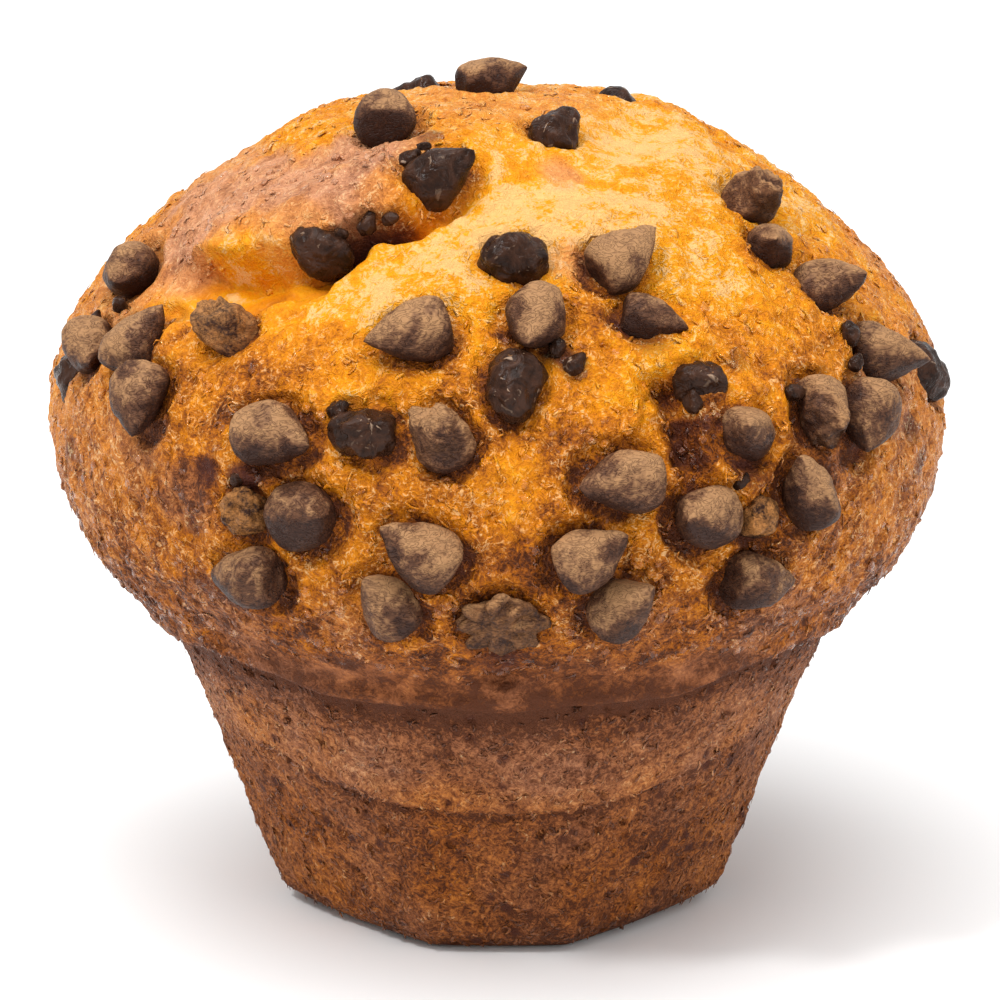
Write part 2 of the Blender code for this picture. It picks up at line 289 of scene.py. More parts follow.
def far_chips():
    """More chips for the far side, between those of the frame."""
    kept = chips_of_frame()
    spread = random.Random(21)
    made = []
    for _ in range(900):
        down = math.degrees(math.acos(spread.uniform(math.cos(math.radians(95)), math.cos(math.radians(14)))))
        around = spread.uniform(104, 256)
        turn, lift = spread.uniform(-math.pi, math.pi), spread.uniform(0.1, 0.6)
        size = spread.uniform(0.88, 1.06)
        kind = spread.choice(("whole", "whole", "broken", "melted"))
        rise = spread.uniform(0.5, 1.0) * MM
        slope = np.interp(down, OUTLINE_DOWN, OUTLINE_TILT)
        if direction(around, slope) @ direction(0, 75) > -0.35:
            continue
        chip = laid_chip(f"far_{kind}_{len(made) + 1:02d}", around, down, turn, lift, size, rise)
        if any(np.linalg.norm(chip.middle - other.middle) < 8.7 * MM for other in kept + made):
            continue
        made.append(chip)
        if len(made) == 36:
            break
    return made


# Bits of melted chocolate too small for the frame: (around, down, turn, size as a share of a chip)
BITS = (
    (-27.2, 40.2, 0.6, 0.30), (-31.5, 42.6, 1.4, 0.22), (-22.8, 39.0, 1.2, 0.22), (-26.2, 27.6, 0.3, 0.32),
    (-24.0, 25.6, 1.3, 0.24), (8.2, 58.2, 0.2, 0.26), (10.4, 60.4, 1.0, 0.32), (41.3, 67.0, 1.5, 0.28),
    (25.6, 66.0, 0.2, 0.30), (-20.8, 66.8, 1.2, 0.30), (30.5, 76.0, 0.7, 0.26), (-33.5, 76.0, 0.7, 0.26),
    (-70.5, 60.5, 0.9, 0.30), (-75.5, 64.0, 0.2, 0.26), (57.0, 62.0, 0.4, 0.32), (55.5, 65.5, 0.9, 0.26),
    (150, 40, 0.5, 0.3), (196, 58, 1.2, 0.34),
    (172, 71, 0.1, 0.28), (224, 48, 1.0, 0.3), (128, 62, 0.4, 0.3), (140, 82, 1.4, 0.26), (214, 78, 0.8, 0.3),
)


def bits():
    return [laid_chip(f"bit_melted_{number:02d}", around, down, turn, 0.2, size, 0.1 * MM) for number, (around, down, turn, size) in enumerate(BITS, 1)]


# Baked patches of the cap: (around, down, reach in mm, amount). Above nothing a patch lifts the crumb towards
# yellow and cream, and below nothing browns it; some of the dark patches are painted shade in crevices between chips.
TONE_AND_SHADE_PATCHES = (
    (8, 38, 7, 0.36), (22, 37, 7, 0.34), (-6, 41, 6, 0.34), (0, 34, 5, 0.26), (36, 34, 8, 0.22),
    (55, 22, 9, 0.40), (78, 26, 8, 0.34), (-15, 46, 5, 0.30), (-24, 51, 5, 0.28), (-34, 54, 4, 0.22),
    (-41, 51, 5, 0.20), (-50, 52, 5, 0.18), (-57, 58, 3.6, 0.26), (-64, 56, 3, 0.16), (36, 47, 7, 0.20),
    (42, 40, 7, 0.14), (27, 60, 5, 0.16), (17, 62, 5, 0.10), (46, 56, 6, 0.10), (70, 42, 7, 0.18),
    (84, 50, 7, 0.16), (5, 24, 6, 0.10), (-2, 50, 5, 0.14), (-14, 54, 4, 0.10), (60, 34, 6, 0.16),
    (2, 75, 4, 0.18), (-6, 78, 3, 0.1), (2, 85, 5, -0.12), (0, 80, 4, -0.05), (-38, 84, 6, -0.08), (-66, 76, 6, -0.05), (-18, 62, 4, 0.06), (8, 42, 5, 0.2),
    (-76, 72, 6, 0.10), (76, 80, 6, 0.08), (-88, 80, 8, 0.16), (88, 80, 8, 0.14), (150, 30, 10, 0.3),
    (170, 45, 9, 0.24), (200, 38, 10, 0.26), (130, 60, 8, 0.18), (215, 62, 9, 0.2), (110, 40, 8, 0.2),
    (-30, 62, 4, -0.10), (12, 56, 3.5, -0.20), (20, 56, 3, -0.16), (-4, 62, 4, -0.10), (-12, 75, 5, -0.12),
    (13, 70, 4, -0.10), (46, 67, 4, -0.12), (38, 74, 5, -0.14), (-40, 74, 5, -0.16), (-47, 80, 5, -0.12),
    (-24, 78, 4, -0.16), (24, 77, 4, -0.16), (-30, 92, 5, -0.10), (30, 92, 5, -0.10), (0, 95, 5, -0.12),
    (50, 82, 6, -0.08), (-45, 52, 4, -0.3), (-36, 52, 5, -0.26), (-65, 53, 4, -0.18), (-35, 66, 4, -0.2),
    (-44, 68, 4, -0.14), (-40, 77, 3, -0.3), (-8, 84, 3, -0.3), (5, 85, 3, -0.24), (15, 52, 3, -0.24),
    (47, 75, 3, -0.3), (-5, 76, 4, -0.1), (35, 84, 3, -0.2), (26.5, 70.5, 2.8, -0.45), (25, 73, 2.2, -0.3),
    (-32, 76, 2.6, -0.4), (-38, 76, 2.0, -0.3), (-60, 88, 6, -0.06), (-52, 38, 8, -0.06), (-36, 30, 7, -0.06),
    (2, 72, 5, -0.12), (8, 66, 4, -0.08), (-2, 92, 4, -0.06), (16, 44, 3, -0.16), (-52, 62, 4, -0.12), (-26, 34, 4, -0.16),
    (-36, 38, 5, -0.08), (22, 28, 3, -0.14), (48, 48, 3, -0.14), (190, 75, 8, -0.12), (160, 66, 7, -0.1),
)
ROSE_PATCHES = (
    (-60, 38, 8, 0.9), (-74, 42, 8, 0.8), (-45, 31, 7, 0.8), (-84, 55, 7, 0.4), (-36, 26, 6, 0.7),
    (-30, 36, 5, 0.5), (-40, 40, 6, 0.6), (-95, 40, 8, 0.6), (21, 27, 3, 0.6),
    (-70, 60, 4, 0.4), (14, 45, 3, 0.5), (66, 72, 5, 0.3), (-66, 47, 8, 0.7), (-78, 66, 6, 0.3), (-52, 75, 5, 0.4), (-42, 80, 4, 0.5),
    (44, 78, 5, 0.2), (82, 90, 8, 0.5), (-82, 92, 8, 0.5), (140, 48, 8, 0.6), (210, 50, 8, 0.6),
    (90, 58, 5, 0.3), (58, 70, 4, 0.5), (40, 97, 6, 0.5), (-40, 97, 6, 0.5), (20, 95, 4, 0.3), (-20, 95, 4, 0.3),
)
# Cocoa stains rubbed into the crumb, and painted shade in the dark crevices between chips: (around, down, reach in mm,
# amount)
STAIN_AND_SHADE_PATCHES = (
    (8.6, 58.4, 1.7, 0.8), (10.5, 60.5, 1.8, 0.8), (67, 76, 1.9, 0.8), (69, 81, 1.9, 0.8), (-71, 80, 1.8, 0.7),
    (-73, 85, 1.7, 0.6), (-48, 77, 1.3, 0.4), (-46, 81, 1.2, 0.35), (-41, 83, 1.6, 0.5), (27, 69, 1.9, 0.5),
    (24.5, 72.5, 1.6, 0.5), (31, 75.5, 1.8, 0.6), (-32.5, 76.3, 2.4, 0.8), (-40.5, 91, 1.6, 0.6), (-38, 76, 1.8, 0.7),
    (-19, 66.5, 1.8, 0.5), (-23, 22, 1.6, 0.7), (22, 58, 2.2, 0.5), (19, 55, 1.8, 0.6), (55, 75, 2.6, 0.5),
    (61, 74, 2.2, 0.6), (47, 71, 2.0, 0.5), (-57, 58.5, 1.6, 0.3), (-66, 62, 2.4, 0.6), (34, 62, 1.5, 0.5),
    (0, 100, 3.0, 0.5), (-64, 45, 1.4, 0.4), (125, 70, 2.5, 0.6), (205, 66, 2.5, 0.6), (165, 82, 2.5, 0.5),
)


def patched(rays, patches, waver):
    """The sum of soft round patches, with wavering edges."""
    total = np.zeros(len(rays))
    for around, down, reach, amount in patches:
        distance = np.linalg.norm(rays - direction(around, down), axis=1) * CAP_RADIUS
        total += amount * (1 - smooth(0.45, 1.25, distance / (reach * MM) + waver))
    return total


def store(mesh, **values):
    """Keeps numbers on the points of a mesh, for its material to read."""
    for name, numbers in values.items():
        attribute = mesh.attributes.new(name, "FLOAT", "POINT")
        attribute.data.foreach_set("value", np.asarray(numbers, np.float32))


def kept(mesh, name):
    numbers = np.empty(len(mesh.vertices), np.float32)
    mesh.attributes[name].data.foreach_get("value", numbers)
    return numbers.astype(float)


def positions(mesh):
    flat = np.empty(len(mesh.vertices) * 3)
    mesh.vertices.foreach_get("co", flat)
    return flat.reshape(-1, 3)


def normals(mesh):
    flat = np.empty(len(mesh.vertices) * 3, np.float32)
    mesh.vertices.foreach_get("normal", flat)
    return flat.reshape(-1, 3).astype(float)


def move_to(mesh, points):
    mesh.vertices.foreach_set("co", np.ascontiguousarray(points, np.float32).ravel())
    mesh.update()


def begin(name):
    """Takes the object that an operator just added and names it."""
    obj = bpy.context.object
    obj.name = obj.data.name = name
    return obj


def deselect():
    if bpy.context.object and bpy.context.object.mode != "OBJECT":
        bpy.ops.object.mode_set(mode="OBJECT")
    bpy.ops.object.select_all(action="DESELECT")


def select_points(mesh, chosen):
    """Goes into edit mode with only these points selected."""
    bpy.ops.object.mode_set(mode="EDIT")
    bpy.ops.mesh.select_mode(type="VERT")
    bpy.ops.mesh.select_all(action="DESELECT")
    bpy.ops.object.mode_set(mode="OBJECT")
    mesh.vertices.foreach_set("select", chosen)
    bpy.ops.object.mode_set(mode="EDIT")


def joined(pieces, name):
    """Joins finished pieces into one."""
    deselect()
    for piece in pieces:
        piece.select_set(True)
    bpy.context.view_layer.objects.active = pieces[0]
    bpy.ops.object.join()
    return begin(name)


def declare(piece, material, slot, *nodes):
    """Gives a finished piece its material and its place in the frame."""
    piece.data.materials.clear()
    piece.data.materials.append(material)
    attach(piece, "root")
    if nodes:
        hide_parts(*nodes)


class Wire:
    """A number, a colour or a vector that varies over a surface: an output of a material's node."""

    def __init__(self, finish, socket):
        self.finish = finish
        self.socket = socket

    def math(self, operation, *values):
        inputs = dict(enumerate(values))
        return self.finish.node("ShaderNodeMath", {"operation": operation}, inputs)

    def __add__(self, other):
        return self.math("ADD", self, other)

    def __mul__(self, other):
        return self.math("MULTIPLY", self, other)

    def __sub__(self, other):
        return self.math("SUBTRACT", self, other)

    def __rsub__(self, other):
        return self.math("SUBTRACT", other, self)

    def __pow__(self, other):
        return self.math("POWER", self, other)

    def __abs__(self):
        return self.math("ABSOLUTE", self)

    __radd__ = __add__
    __rmul__ = __mul__

    def clamped(self):
        return self.finish.node("ShaderNodeClamp", {}, {"Value": self})

    def between(self, low, high):
        """0 below low and 1 above high."""
        inputs = {"Value": self, "From Min": low, "From Max": high}
        return self.finish.node("ShaderNodeMapRange", {"interpolation_type": "SMOOTHSTEP"}, inputs)


class Finish:
    """A material in the making."""

    def __init__(self, name):
        self.material = bpy.data.materials.new(name)
        self.material.use_nodes = True
        self.tree = self.material.node_tree
        self.shader = self.tree.nodes["Principled BSDF"]

    def feed(self, socket, value):
        if isinstance(value, Wire):
            self.tree.links.new(value.socket, socket)
        elif isinstance(value, tuple) and len(value) == 3 and len(socket.default_value) == 4:
            socket.default_value = (*value, 1)
        else:
            socket.default_value = value

    def node(self, kind, settings, inputs, output=0):
        """Adds a node: its settings first, then the values or links of its sockets."""
        node = self.tree.nodes.new(kind)
        for name, value in settings.items():
            if name == "stops":
                ramp = node.color_ramp
                for place, color in value[2:]:
                    ramp.elements.new(place).color = (*color, 1)
                for element, (place, color) in zip((ramp.elements[0], ramp.elements[-1]), value[:2]):
                    element.position, element.color = place, (*color, 1)
            else:
                setattr(node, name, value)
        for name, value in inputs.items():
            self.feed(node.inputs[name], value)
        return Wire(self, node.outputs[output])

    def coordinates(self):
        return self.node("ShaderNodeTexCoord", {}, {}, "Object")

    def attribute(self, name):
        return self.node("ShaderNodeAttribute", {"attribute_name": name}, {}, "Fac")

    def noise(self, place, size, detail=2.0, roughness=0.5, warp=0.0):
        inputs = {"Vector": place, "Scale": 1 / size, "Detail": detail, "Roughness": roughness, "Distortion": warp}
        return self.node("ShaderNodeTexNoise", {}, inputs)

    def cells(self, place, size, feature="F1"):
        inputs = {"Vector": place, "Scale": 1 / size}
        return self.node("ShaderNodeTexVoronoi", {"feature": feature}, inputs, "Distance")

    def moved(self, place, offset=(0, 0, 0), scale=(1, 1, 1)):
        return self.node("ShaderNodeMapping", {}, {"Vector": place, "Location": offset, "Scale": scale})

    def ramp(self, value, first, last, *between):
        return self.node("ShaderNodeValToRGB", {"stops": (first, last, *between)}, {"Fac": value})

    def mix(self, share, first, second):
        """A colour between two, by a share from 0 to 1."""
        settings = {"data_type": "RGBA"}
        node = self.node("ShaderNodeMix", settings, {0: share, 6: first, 7: second}, 2)
        return node

    def bump(self, height, distance, strength=1.0, normal=None):
        inputs = {"Height": height, "Distance": distance, "Strength": strength}
        if normal:
            inputs["Normal"] = normal
        return self.node("ShaderNodeBump", {}, inputs)

    def surface(self, **inputs):
        for name, value in inputs.items():
            self.feed(self.shader.inputs[name.replace("_", " ").title().replace("Ior", "IOR")], value)
        return self.material


def baked_finish(name, colors, rough=0.6, contrast=1.0, shine=0.12, blotches=1.0):
    """The baked crumb: its tone runs from dark crust through gold to cream, with glossy strands and painted highlight
    streaks on them.
    """
    finish = Finish(name)
    place = finish.coordinates()
    tone, rose, wine = (finish.attribute(word) for word in ("tone", "rose", "wine"))
    moist, grit = finish.attribute("moist"), finish.attribute("grit")
    blotch = finish.noise(place, 3.4 * MM, 3, 0.55, 0.7)
    speck = finish.noise(finish.moved(place, (0.3, 0.1, 0.7)), 1.2 * MM, 3, 0.6, 1.2)
    strand = (1 - abs(finish.noise(place, 1.1 * MM, 2, 0.5, 1.6) - 0.5) * 7).clamped()
    second = (1 - abs(finish.noise(finish.moved(place, (0.9, 0.4, 0.2)), 0.75 * MM, 2, 0.5, 1.2) - 0.5) * 7).clamped()
    fine = finish.noise(place, 0.33 * MM, 2, 0.6)
    level = tone + (blotch - 0.5) * blotches + (speck - 0.5) * 0.65 * contrast * grit
    level = level + ((strand - 0.35) * 0.2 + (second - 0.35) * 0.15 + (fine - 0.5) * 0.3) * contrast * grit
    color = finish.ramp(
        level,
        (0.0, tuple(colors.crust_dark)),
        (1.0, tuple(colors.crumb_cream)),
        (0.22, tuple(colors.crust_brown)),
        (0.46, tuple(colors.crust_gold)),
        (0.68, tuple(colors.crumb_orange)),
        (0.87, tuple(colors.crumb_yellow)),
    )
    blush = finish.ramp(level, (0.05, tuple(colors.rose_dark)), (0.85, tuple(colors.rose_pale)))
    stain = (rose * 0.85 + (blotch - 0.5) * 0.5 * rose).clamped()
    color = finish.mix(stain, color, blush)
    color = finish.mix((wine * (speck * 0.8 + 0.55)).clamped(), color, tuple(colors.wine))
    gloss = (strand * 0.6 + second * 0.4) * moist
    # Painted highlights: pale streaks and specks along the moist strands, mixed into the colour
    highlight_streak = ((strand - 0.6) * 4).clamped() * ((speck - 0.5) * 9).clamped()
    painted_glint = (highlight_streak + ((fine - 0.66) * 9).clamped() * 0.35).clamped() * moist
    color = finish.mix(painted_glint * (1.02 - tone) * tone.between(0.1, 0.35) * 0.62, color, tuple(colors.painted_glint))
    height = strand * 0.45 + second * 0.3 + fine * 0.18 + speck * 0.5
    bumped = finish.bump(height * grit, 0.42 * MM, 0.7)
    return finish.surface(
        base_color=color,
        roughness=rough - gloss * 0.34 + (fine - 0.5) * 0.12,
        normal=bumped,
        specular_ior_level=shine,
    )


def chocolate_finish(colors):
    """Dull chocolate, paler on the tops and darker underneath, with worn ridges and fine scratches: real bloom with
    painted top light, and painted shade underneath.
    """
    finish = Finish("bloomed_chocolate")
    place = finish.coordinates()
    bloom = finish.attribute("bloom")
    crumbly = finish.attribute("crumbly")
    cloud = finish.noise(place, 2.2 * MM, 3, 0.6, 0.6)
    speck = finish.noise(finish.moved(place, (0.2, 0.5, 0.1)), 0.32 * MM, 2, 0.65)
    scratch = finish.noise(finish.moved(place, (0, 0, 0), (1, 1, 2.2)), 1.5 * MM, 1, 0.5, 2.2)
    scratch = (1 - abs(scratch - 0.5) * 16).clamped()
    level = bloom + (cloud - 0.5) * 0.3 + (speck - 0.5) * 0.6 - scratch * 0.2
    color = finish.ramp(
        level.clamped(),
        (0.0, tuple(colors.chocolate_dark)),
        (1.0, tuple(colors.chocolate_bloom)),
        (0.45, tuple(colors.chocolate)),
    )
    crumb = finish.ramp(cloud * 0.8 + speck * 0.5, (0.52, tuple(colors.chocolate_dark)), (0.76, tuple(colors.crumbly)))
    color = finish.mix(crumbly, color, crumb)
    height = speck * 0.5 + cloud * 0.6 - scratch * 0.7
    return finish.surface(
        base_color=color,
        roughness=0.42 + bloom * 0.25 - scratch * 0.1 + (speck - 0.5) * 0.2,
        normal=finish.bump(height, 0.16 * MM, 0.8),
        specular_ior_level=0.13,
    )


def melted_finish(colors):
    """Melted chocolate: nearly black, shiny and lumpy, with crumbs stuck to it."""
    finish = Finish("melted_chocolate")
    place = finish.coordinates()
    dust_and_top_light = finish.attribute("bloom")
    cloud = finish.noise(place, 1.8 * MM, 3, 0.6, 0.9)
    speck = finish.noise(finish.moved(place, (0.4, 0.2, 0.6)), 0.5 * MM, 2, 0.6, 0.6)
    color = finish.ramp(
        cloud + (speck - 0.5) * 0.3,
        (0.36, tuple(colors.melted_dark)),
        (0.72, tuple(colors.melted_light)),
    )
    dusty = (((speck - 0.66) * 8 + (dust_and_top_light - 0.75) * 1.2) * dust_and_top_light).clamped()
    color = finish.mix(dusty, color, tuple(colors.crumbly))
    # Painted glints on the melted chips, strongest on the faces turned up
    painted_wet_glint = ((finish.noise(place, 1.1 * MM, 2, 0.5, 1.2) - 0.66) * 16).clamped() * (dust_and_top_light * 0.8 + 0.2)
    color = finish.mix(painted_wet_glint * 0.75, color, tuple(colors.melted_glint))
    return finish.surface(
        base_color=color,
        roughness=0.2 + dusty * 0.4 + (cloud - 0.5) * 0.2,
        normal=finish.bump(cloud * 1.2 + speck * 0.25, 0.4 * MM, 0.8),
        specular_ior_level=0.12,
    )


def flat_share(around):
    """How far out the foot lies between two of its corners, as a share of the corners' radius."""
    corners = np.array(FOOT_CORNERS + (FOOT_CORNERS[0] + 360,), float)
    angle = (around - corners[0]) % 360 + corners[0]
    number = np.clip(np.searchsorted(corners, angle) - 1, 0, len(corners) - 2)
    start, end = corners[number], corners[number + 1]
    half = np.radians(end - start) / 2
    return np.cos(half) / np.cos(np.radians(angle - start) - half)


def cap_relief(rays, around, down, sizes):
    """How far each place of the cap stands in or out of the turned outline."""
    spots = rays * CAP_RADIUS
    apart, side, along = route_distance(rays, SPLIT_ROUTE)
    relief = -SPLIT_DEPTH * np.exp(-((apart / SPLIT_WIDTH) ** 2))
    relief += np.array([noise.noise(spot) for spot in spots / LUMP_SIZE]) * LUMP_HEIGHT
    warped = rays + 0.022 * np.stack([layered(spots, 5 * MM, 40 + axis, 2) for axis in range(3)], axis=1)
    warped /= np.linalg.norm(warped, axis=1)[:, None]
    edge, uphill, share = route_distance(warped, LEDGE_ROUTE)
    over = edge * uphill
    strength = smooth(0, 0.16, share) * (1 - smooth(0.72, 1.0, share)) * (1 - smooth(7 * MM, 13 * MM, edge))
    relief += strength * sizes.ledge_height * smooth(-0.4 * MM, 0.6 * MM, over) * (1 - 0.55 * smooth(3 * MM, 12 * MM, over))
    crevice = strength * np.exp(-(((over + 1.1 * MM) / (1.1 * MM)) ** 2))
    rim, above, _ = route_distance(warped, RIM_ROUTE)
    hollow = strength * smooth(-0.4 * MM, 1.2 * MM, -over) * smooth(-0.5 * MM, 1.1 * MM, rim * above)
    relief -= sizes.ledge_height * (0.6 * crevice + 0.75 * hollow)
    relief += 0.5 * MM * strength * np.exp(-(((rim * above + 1.2 * MM) / (1.4 * MM)) ** 2)) * smooth(0, 1.5 * MM, -over)
    drop, right, share = route_distance(warped, STEP_ROUTE)
    strength = smooth(0, 0.3, share) * (1 - smooth(0.75, 1.0, share)) * (1 - smooth(5 * MM, 9 * MM, drop))
    past = drop * right
    foot = strength * np.exp(-(((past + 1.4 * MM) / (1.3 * MM)) ** 2))
    relief += sizes.ledge_height * (strength * (0.8 * smooth(-0.6 * MM, 0.6 * MM, past) - 0.35) - 0.7 * foot)
    # Painted shade in the crevice under part of the ledge
    crevice_shade = np.exp(-(((over + 0.9 * MM) / (1.0 * MM)) ** 2)) * smooth(-37, -31, around) * (1 - smooth(-21, -15, around)) * (down < 60)
    return relief, apart, crevice_shade, hollow, foot


def make_cap(scene, chips):
    sizes, colors = scene.muffin_sizes, scene.muffin_colors
    deselect()
    bpy.ops.mesh.primitive_cube_add(size=2, location=(0, 0, 0))
    cap = begin("cake_cap")
    bpy.ops.object.mode_set(mode="EDIT")
    bpy.ops.mesh.subdivide(number_cuts=9)
    bpy.ops.mesh.subdivide(number_cuts=13)
    bpy.ops.object.mode_set(mode="OBJECT")
    rays = np.tan(positions(cap.data) * math.pi / 4)
    rays /= np.linalg.norm(rays, axis=1)[:, None]
    rays += 0.35 * direction(0, 60)
    rays /= np.linalg.norm(rays, axis=1)[:, None]
    hidden = rays[:, 2] < math.cos(math.radians(120))
    move_to(cap.data, rays)
    select_points(cap.data, hidden)
    bpy.ops.mesh.delete(type="VERT")
    bpy.ops.mesh.select_non_manifold()
    bpy.ops.mesh.edge_face_add()
    bpy.ops.object.mode_set(mode="OBJECT")

    rays = positions(cap.data)
    around = np.degrees(np.arctan2(rays[:, 0], -rays[:, 1]))
    down = np.degrees(np.arccos(np.clip(rays[:, 2], -1, 1)))
    reach = np.interp(down, OUTLINE_DOWN, OUTLINE_REACH)
    spots = rays * reach[:, None]
    relief, split, crevice_shade, hollow, foot = cap_relief(rays, around, down, sizes)
    relief -= 0.2 * MM

    waver = 0.35 * layered(spots, 6 * MM, 5, 3)
    front = smooth(-0.35, 0.25, -rays[:, 1])
    patched_tone_and_shade = patched(rays, TONE_AND_SHADE_PATCHES, waver)
    rose = patched(rays, ROSE_PATCHES, waver)
    wine = patched(rays, STAIN_AND_SHADE_PATCHES, waver * 0.8)
    belly = -4 * smooth(20, 50, np.abs(around))
    under = smooth(97, 107, down + belly + 3 * layered(spots, 9 * MM, 9, 2))

    # Crumb: soft pillows in the split, glistening strands on the crust, a smooth skin underneath
    coarse = (1 - 0.75 * under) * (1 - 0.45 * np.exp(-((split / (6 * MM)) ** 2)))
    relief += coarse * 0.34 * MM * layered(spots, 7 * MM, 1, 2)
    relief += coarse * sizes.crumb_height * layered(spots, sizes.crumb_size * 1.5, 2, 3)
    warp = spots + 0.5 * MM * np.stack([grain(spots, 1.7 * MM, 60 + axis) for axis in range(3)], axis=1)
    strands = ridges(warp, sizes.crumb_size * 0.9, 3)
    relief += coarse * sizes.crumb_height * (0.55 * strands + 0.35 * grain(warp, 0.95 * MM, 8))
    nearest, kind = pits(warp, 3.4 * MM, 12)
    holes = (1 - smooth(0.10, 0.30, nearest)) * (kind > 0.62)
    relief -= coarse * holes * 0.5 * MM
    relief += under * 0.2 * MM * ridges(spots * np.array((1, 1, 2.5)), 5 * MM, 14)

    # The little dent in the lip, and the bump under it
    dent = np.exp(-((np.linalg.norm((rays - direction(0.6, 104.2)) * (0.6, 1, 1.2), axis=1) * CAP_RADIUS / (1.5 * MM)) ** 2))
    bump = np.exp(-((np.linalg.norm((rays - direction(0.6, 107.4)) * (0.8, 1, 1.2), axis=1) * CAP_RADIUS / (1.8 * MM)) ** 2))
    relief += 0.9 * MM * bump - 1.7 * MM * dent

    # Hollows and collars round the chips, and the painted shade in the crust below each chip
    centre = np.array(AXIS) + np.array((0, 0, MIDDLE_HEIGHT))
    lean = CAP_LEAN * (spots[:, 2] + MIDDLE_HEIGHT - NECK.z) / (CAKE_HEIGHT - NECK.z)
    places = centre + spots
    places[:, 0] += lean
    shade = np.zeros(len(rays))
    sink = np.zeros(len(rays))
    collar = np.zeros(len(rays))
    waves = 1 + 0.5 * grain(spots, 2.4 * MM, 17)
    for chip in chips:
        around_chip = math.degrees(math.atan2(chip.middle[0] - AXIS.x, AXIS.y - chip.middle[1]))
        tilt = np.array(((-1.0 if around_chip > 0 else 1.0) * (1.0 if abs(around_chip) < 55 else 0.3), 0, -0.7)) * 0.9 * MM
        gap = chip.clearance(places)
        near = gap < 4 * MM
        lower = chip.clearance(places[near] - tilt)
        sink[near] = np.maximum(sink[near], 1 - smooth(0.0, 1.5, gap[near] / MM / waves[near]))
        sink[near] = np.maximum(sink[near], 0.9 * (1 - smooth(-0.4, 1.3, lower / MM / waves[near])))
        collar[near] = np.maximum(collar[near], np.exp(-(((gap[near] / MM - 2.1) / 0.7) ** 2)))
        shade[near] = np.maximum(shade[near], 1 - smooth(-0.3, 0.7, lower / MM))
    relief += sizes.socket_depth * (0.28 * collar * waves - sink)

    # The lip's roll, and the turn under it
    lip = lip_height(around)
    strength = lip_strength(around)
    plane = MIDDLE_HEIGHT - lip - 0.5 * MM
    inside = smooth(111, 118, down)
    plane = plane * (1 - inside) + 10 * MM * inside
    reach = reach + relief * (1 - smooth(112, 117, down))
    height = MIDDLE_HEIGHT + reach * rays[:, 2]
    reach += sizes.lip_overhang * strength * np.exp(-(((height - lip - 1.2 * MM) / (1.5 * MM)) ** 2))
    floor = np.where(down > 95, plane / np.maximum(-rays[:, 2], 0.05), 1.0)
    blend = 0.5 * MM
    mixed = -blend * np.logaddexp(-reach / blend, -floor / blend)
    reach = np.where(down > 95, mixed, reach)
    final = centre + rays * reach[:, None]
    final[:, 0] += lean
    move_to(cap.data, final)

    # How pale, how rosy and how moist each place is, with painted shade and painted light folded into the tone
    level = np.interp(down, (0, 20, 45, 60, 75, 88, 98, 108), (0.62, 0.64, 0.63, 0.51, 0.385, 0.27, 0.11, 0.04))
    level += 0.12 * layered(spots, 13 * MM, 23, 2) * (1.6 - front)
    # Painted shade in the hollows round the chips, below each chip and in the pores; some of the patches are painted
    # shade too
    level += patched_tone_and_shade + 0.05 * strands - 0.08 * sink - 0.3 * shade - 0.12 * holes
    level += 0.1 * np.exp(-((split / (4.5 * MM)) ** 2)) * (1 - smooth(60, 90, np.abs(around)))
    level = np.where(level > 0.8, 0.8 + (level - 0.8) * 0.4, level)
    # Painted shade in the crevice under the ledge and at the foot of the step
    level += 0.03 * hollow - 0.75 * crevice_shade - 0.3 * foot
    # Painted light on the bump, painted shade in the dent and along the lip's lower edge
    level += 0.1 * bump - 0.6 * dent - 0.12 * np.exp(-(((final[:, 2] - lip) / (1.0 * MM)) ** 2))
    level += under * 0.3 * smooth(35, 75, np.abs(around))
    rosy = np.clip(rose, 0, 1) * 0.85 + under * (0.5 + 0.3 * smooth(20, 40, np.abs(around)) + 0.4 * grain(spots, 8 * MM, 31))
    # Rosier towards the grazing sides, partly mauve skin and partly a painted sheen, and rosier round the crown
    rosy += 0.3 * smooth(40, 75, np.abs(around)) * smooth(50, 80, down) + 0.25 * (1 - smooth(10, 22, down))
    # Cocoa stains, with painted shade below the chips, in the crevice under the ledge and at the foot of the step
    stain_and_shade_all = np.clip(wine + 0.25 * shade * (0.5 + grain(spots, 3 * MM, 33)) + 0.85 * crevice_shade + 0.3 * foot, 0, 1)
    moist = np.clip(1 - 0.8 * hollow - under - 0.3 * np.clip(rose, 0, 1) + 0.4 * grain(spots, 9 * MM, 35), 0.05, 1)
    grit = np.clip(1 - 0.5 * under - 0.35 * np.exp(-((split / (6 * MM)) ** 2)) - 0.4 * hollow, 0.2, 1)
    store(cap.data, tone=np.clip(level, 0, 1), rose=np.clip(rosy, 0, 1), wine=stain_and_shade_all, moist=moist, grit=grit)
    clear = np.min([chip.clearance(final) for chip in chips], axis=0)
    crowded = 1 - 1.1 * under - 0.7 * hollow - 0.5 * np.exp(-((split / (8 * MM)) ** 2)) - 0.85 * smooth(0.6, 0.8, level)
    store(cap.data, room=np.where((down < 108) & (clear > 0.1 * MM), np.maximum(crowded, 0), 0))
    cap.data.shade_smooth()
    declare(cap, baked_finish("baked_cap", colors), "crust", "cake")
    return cap


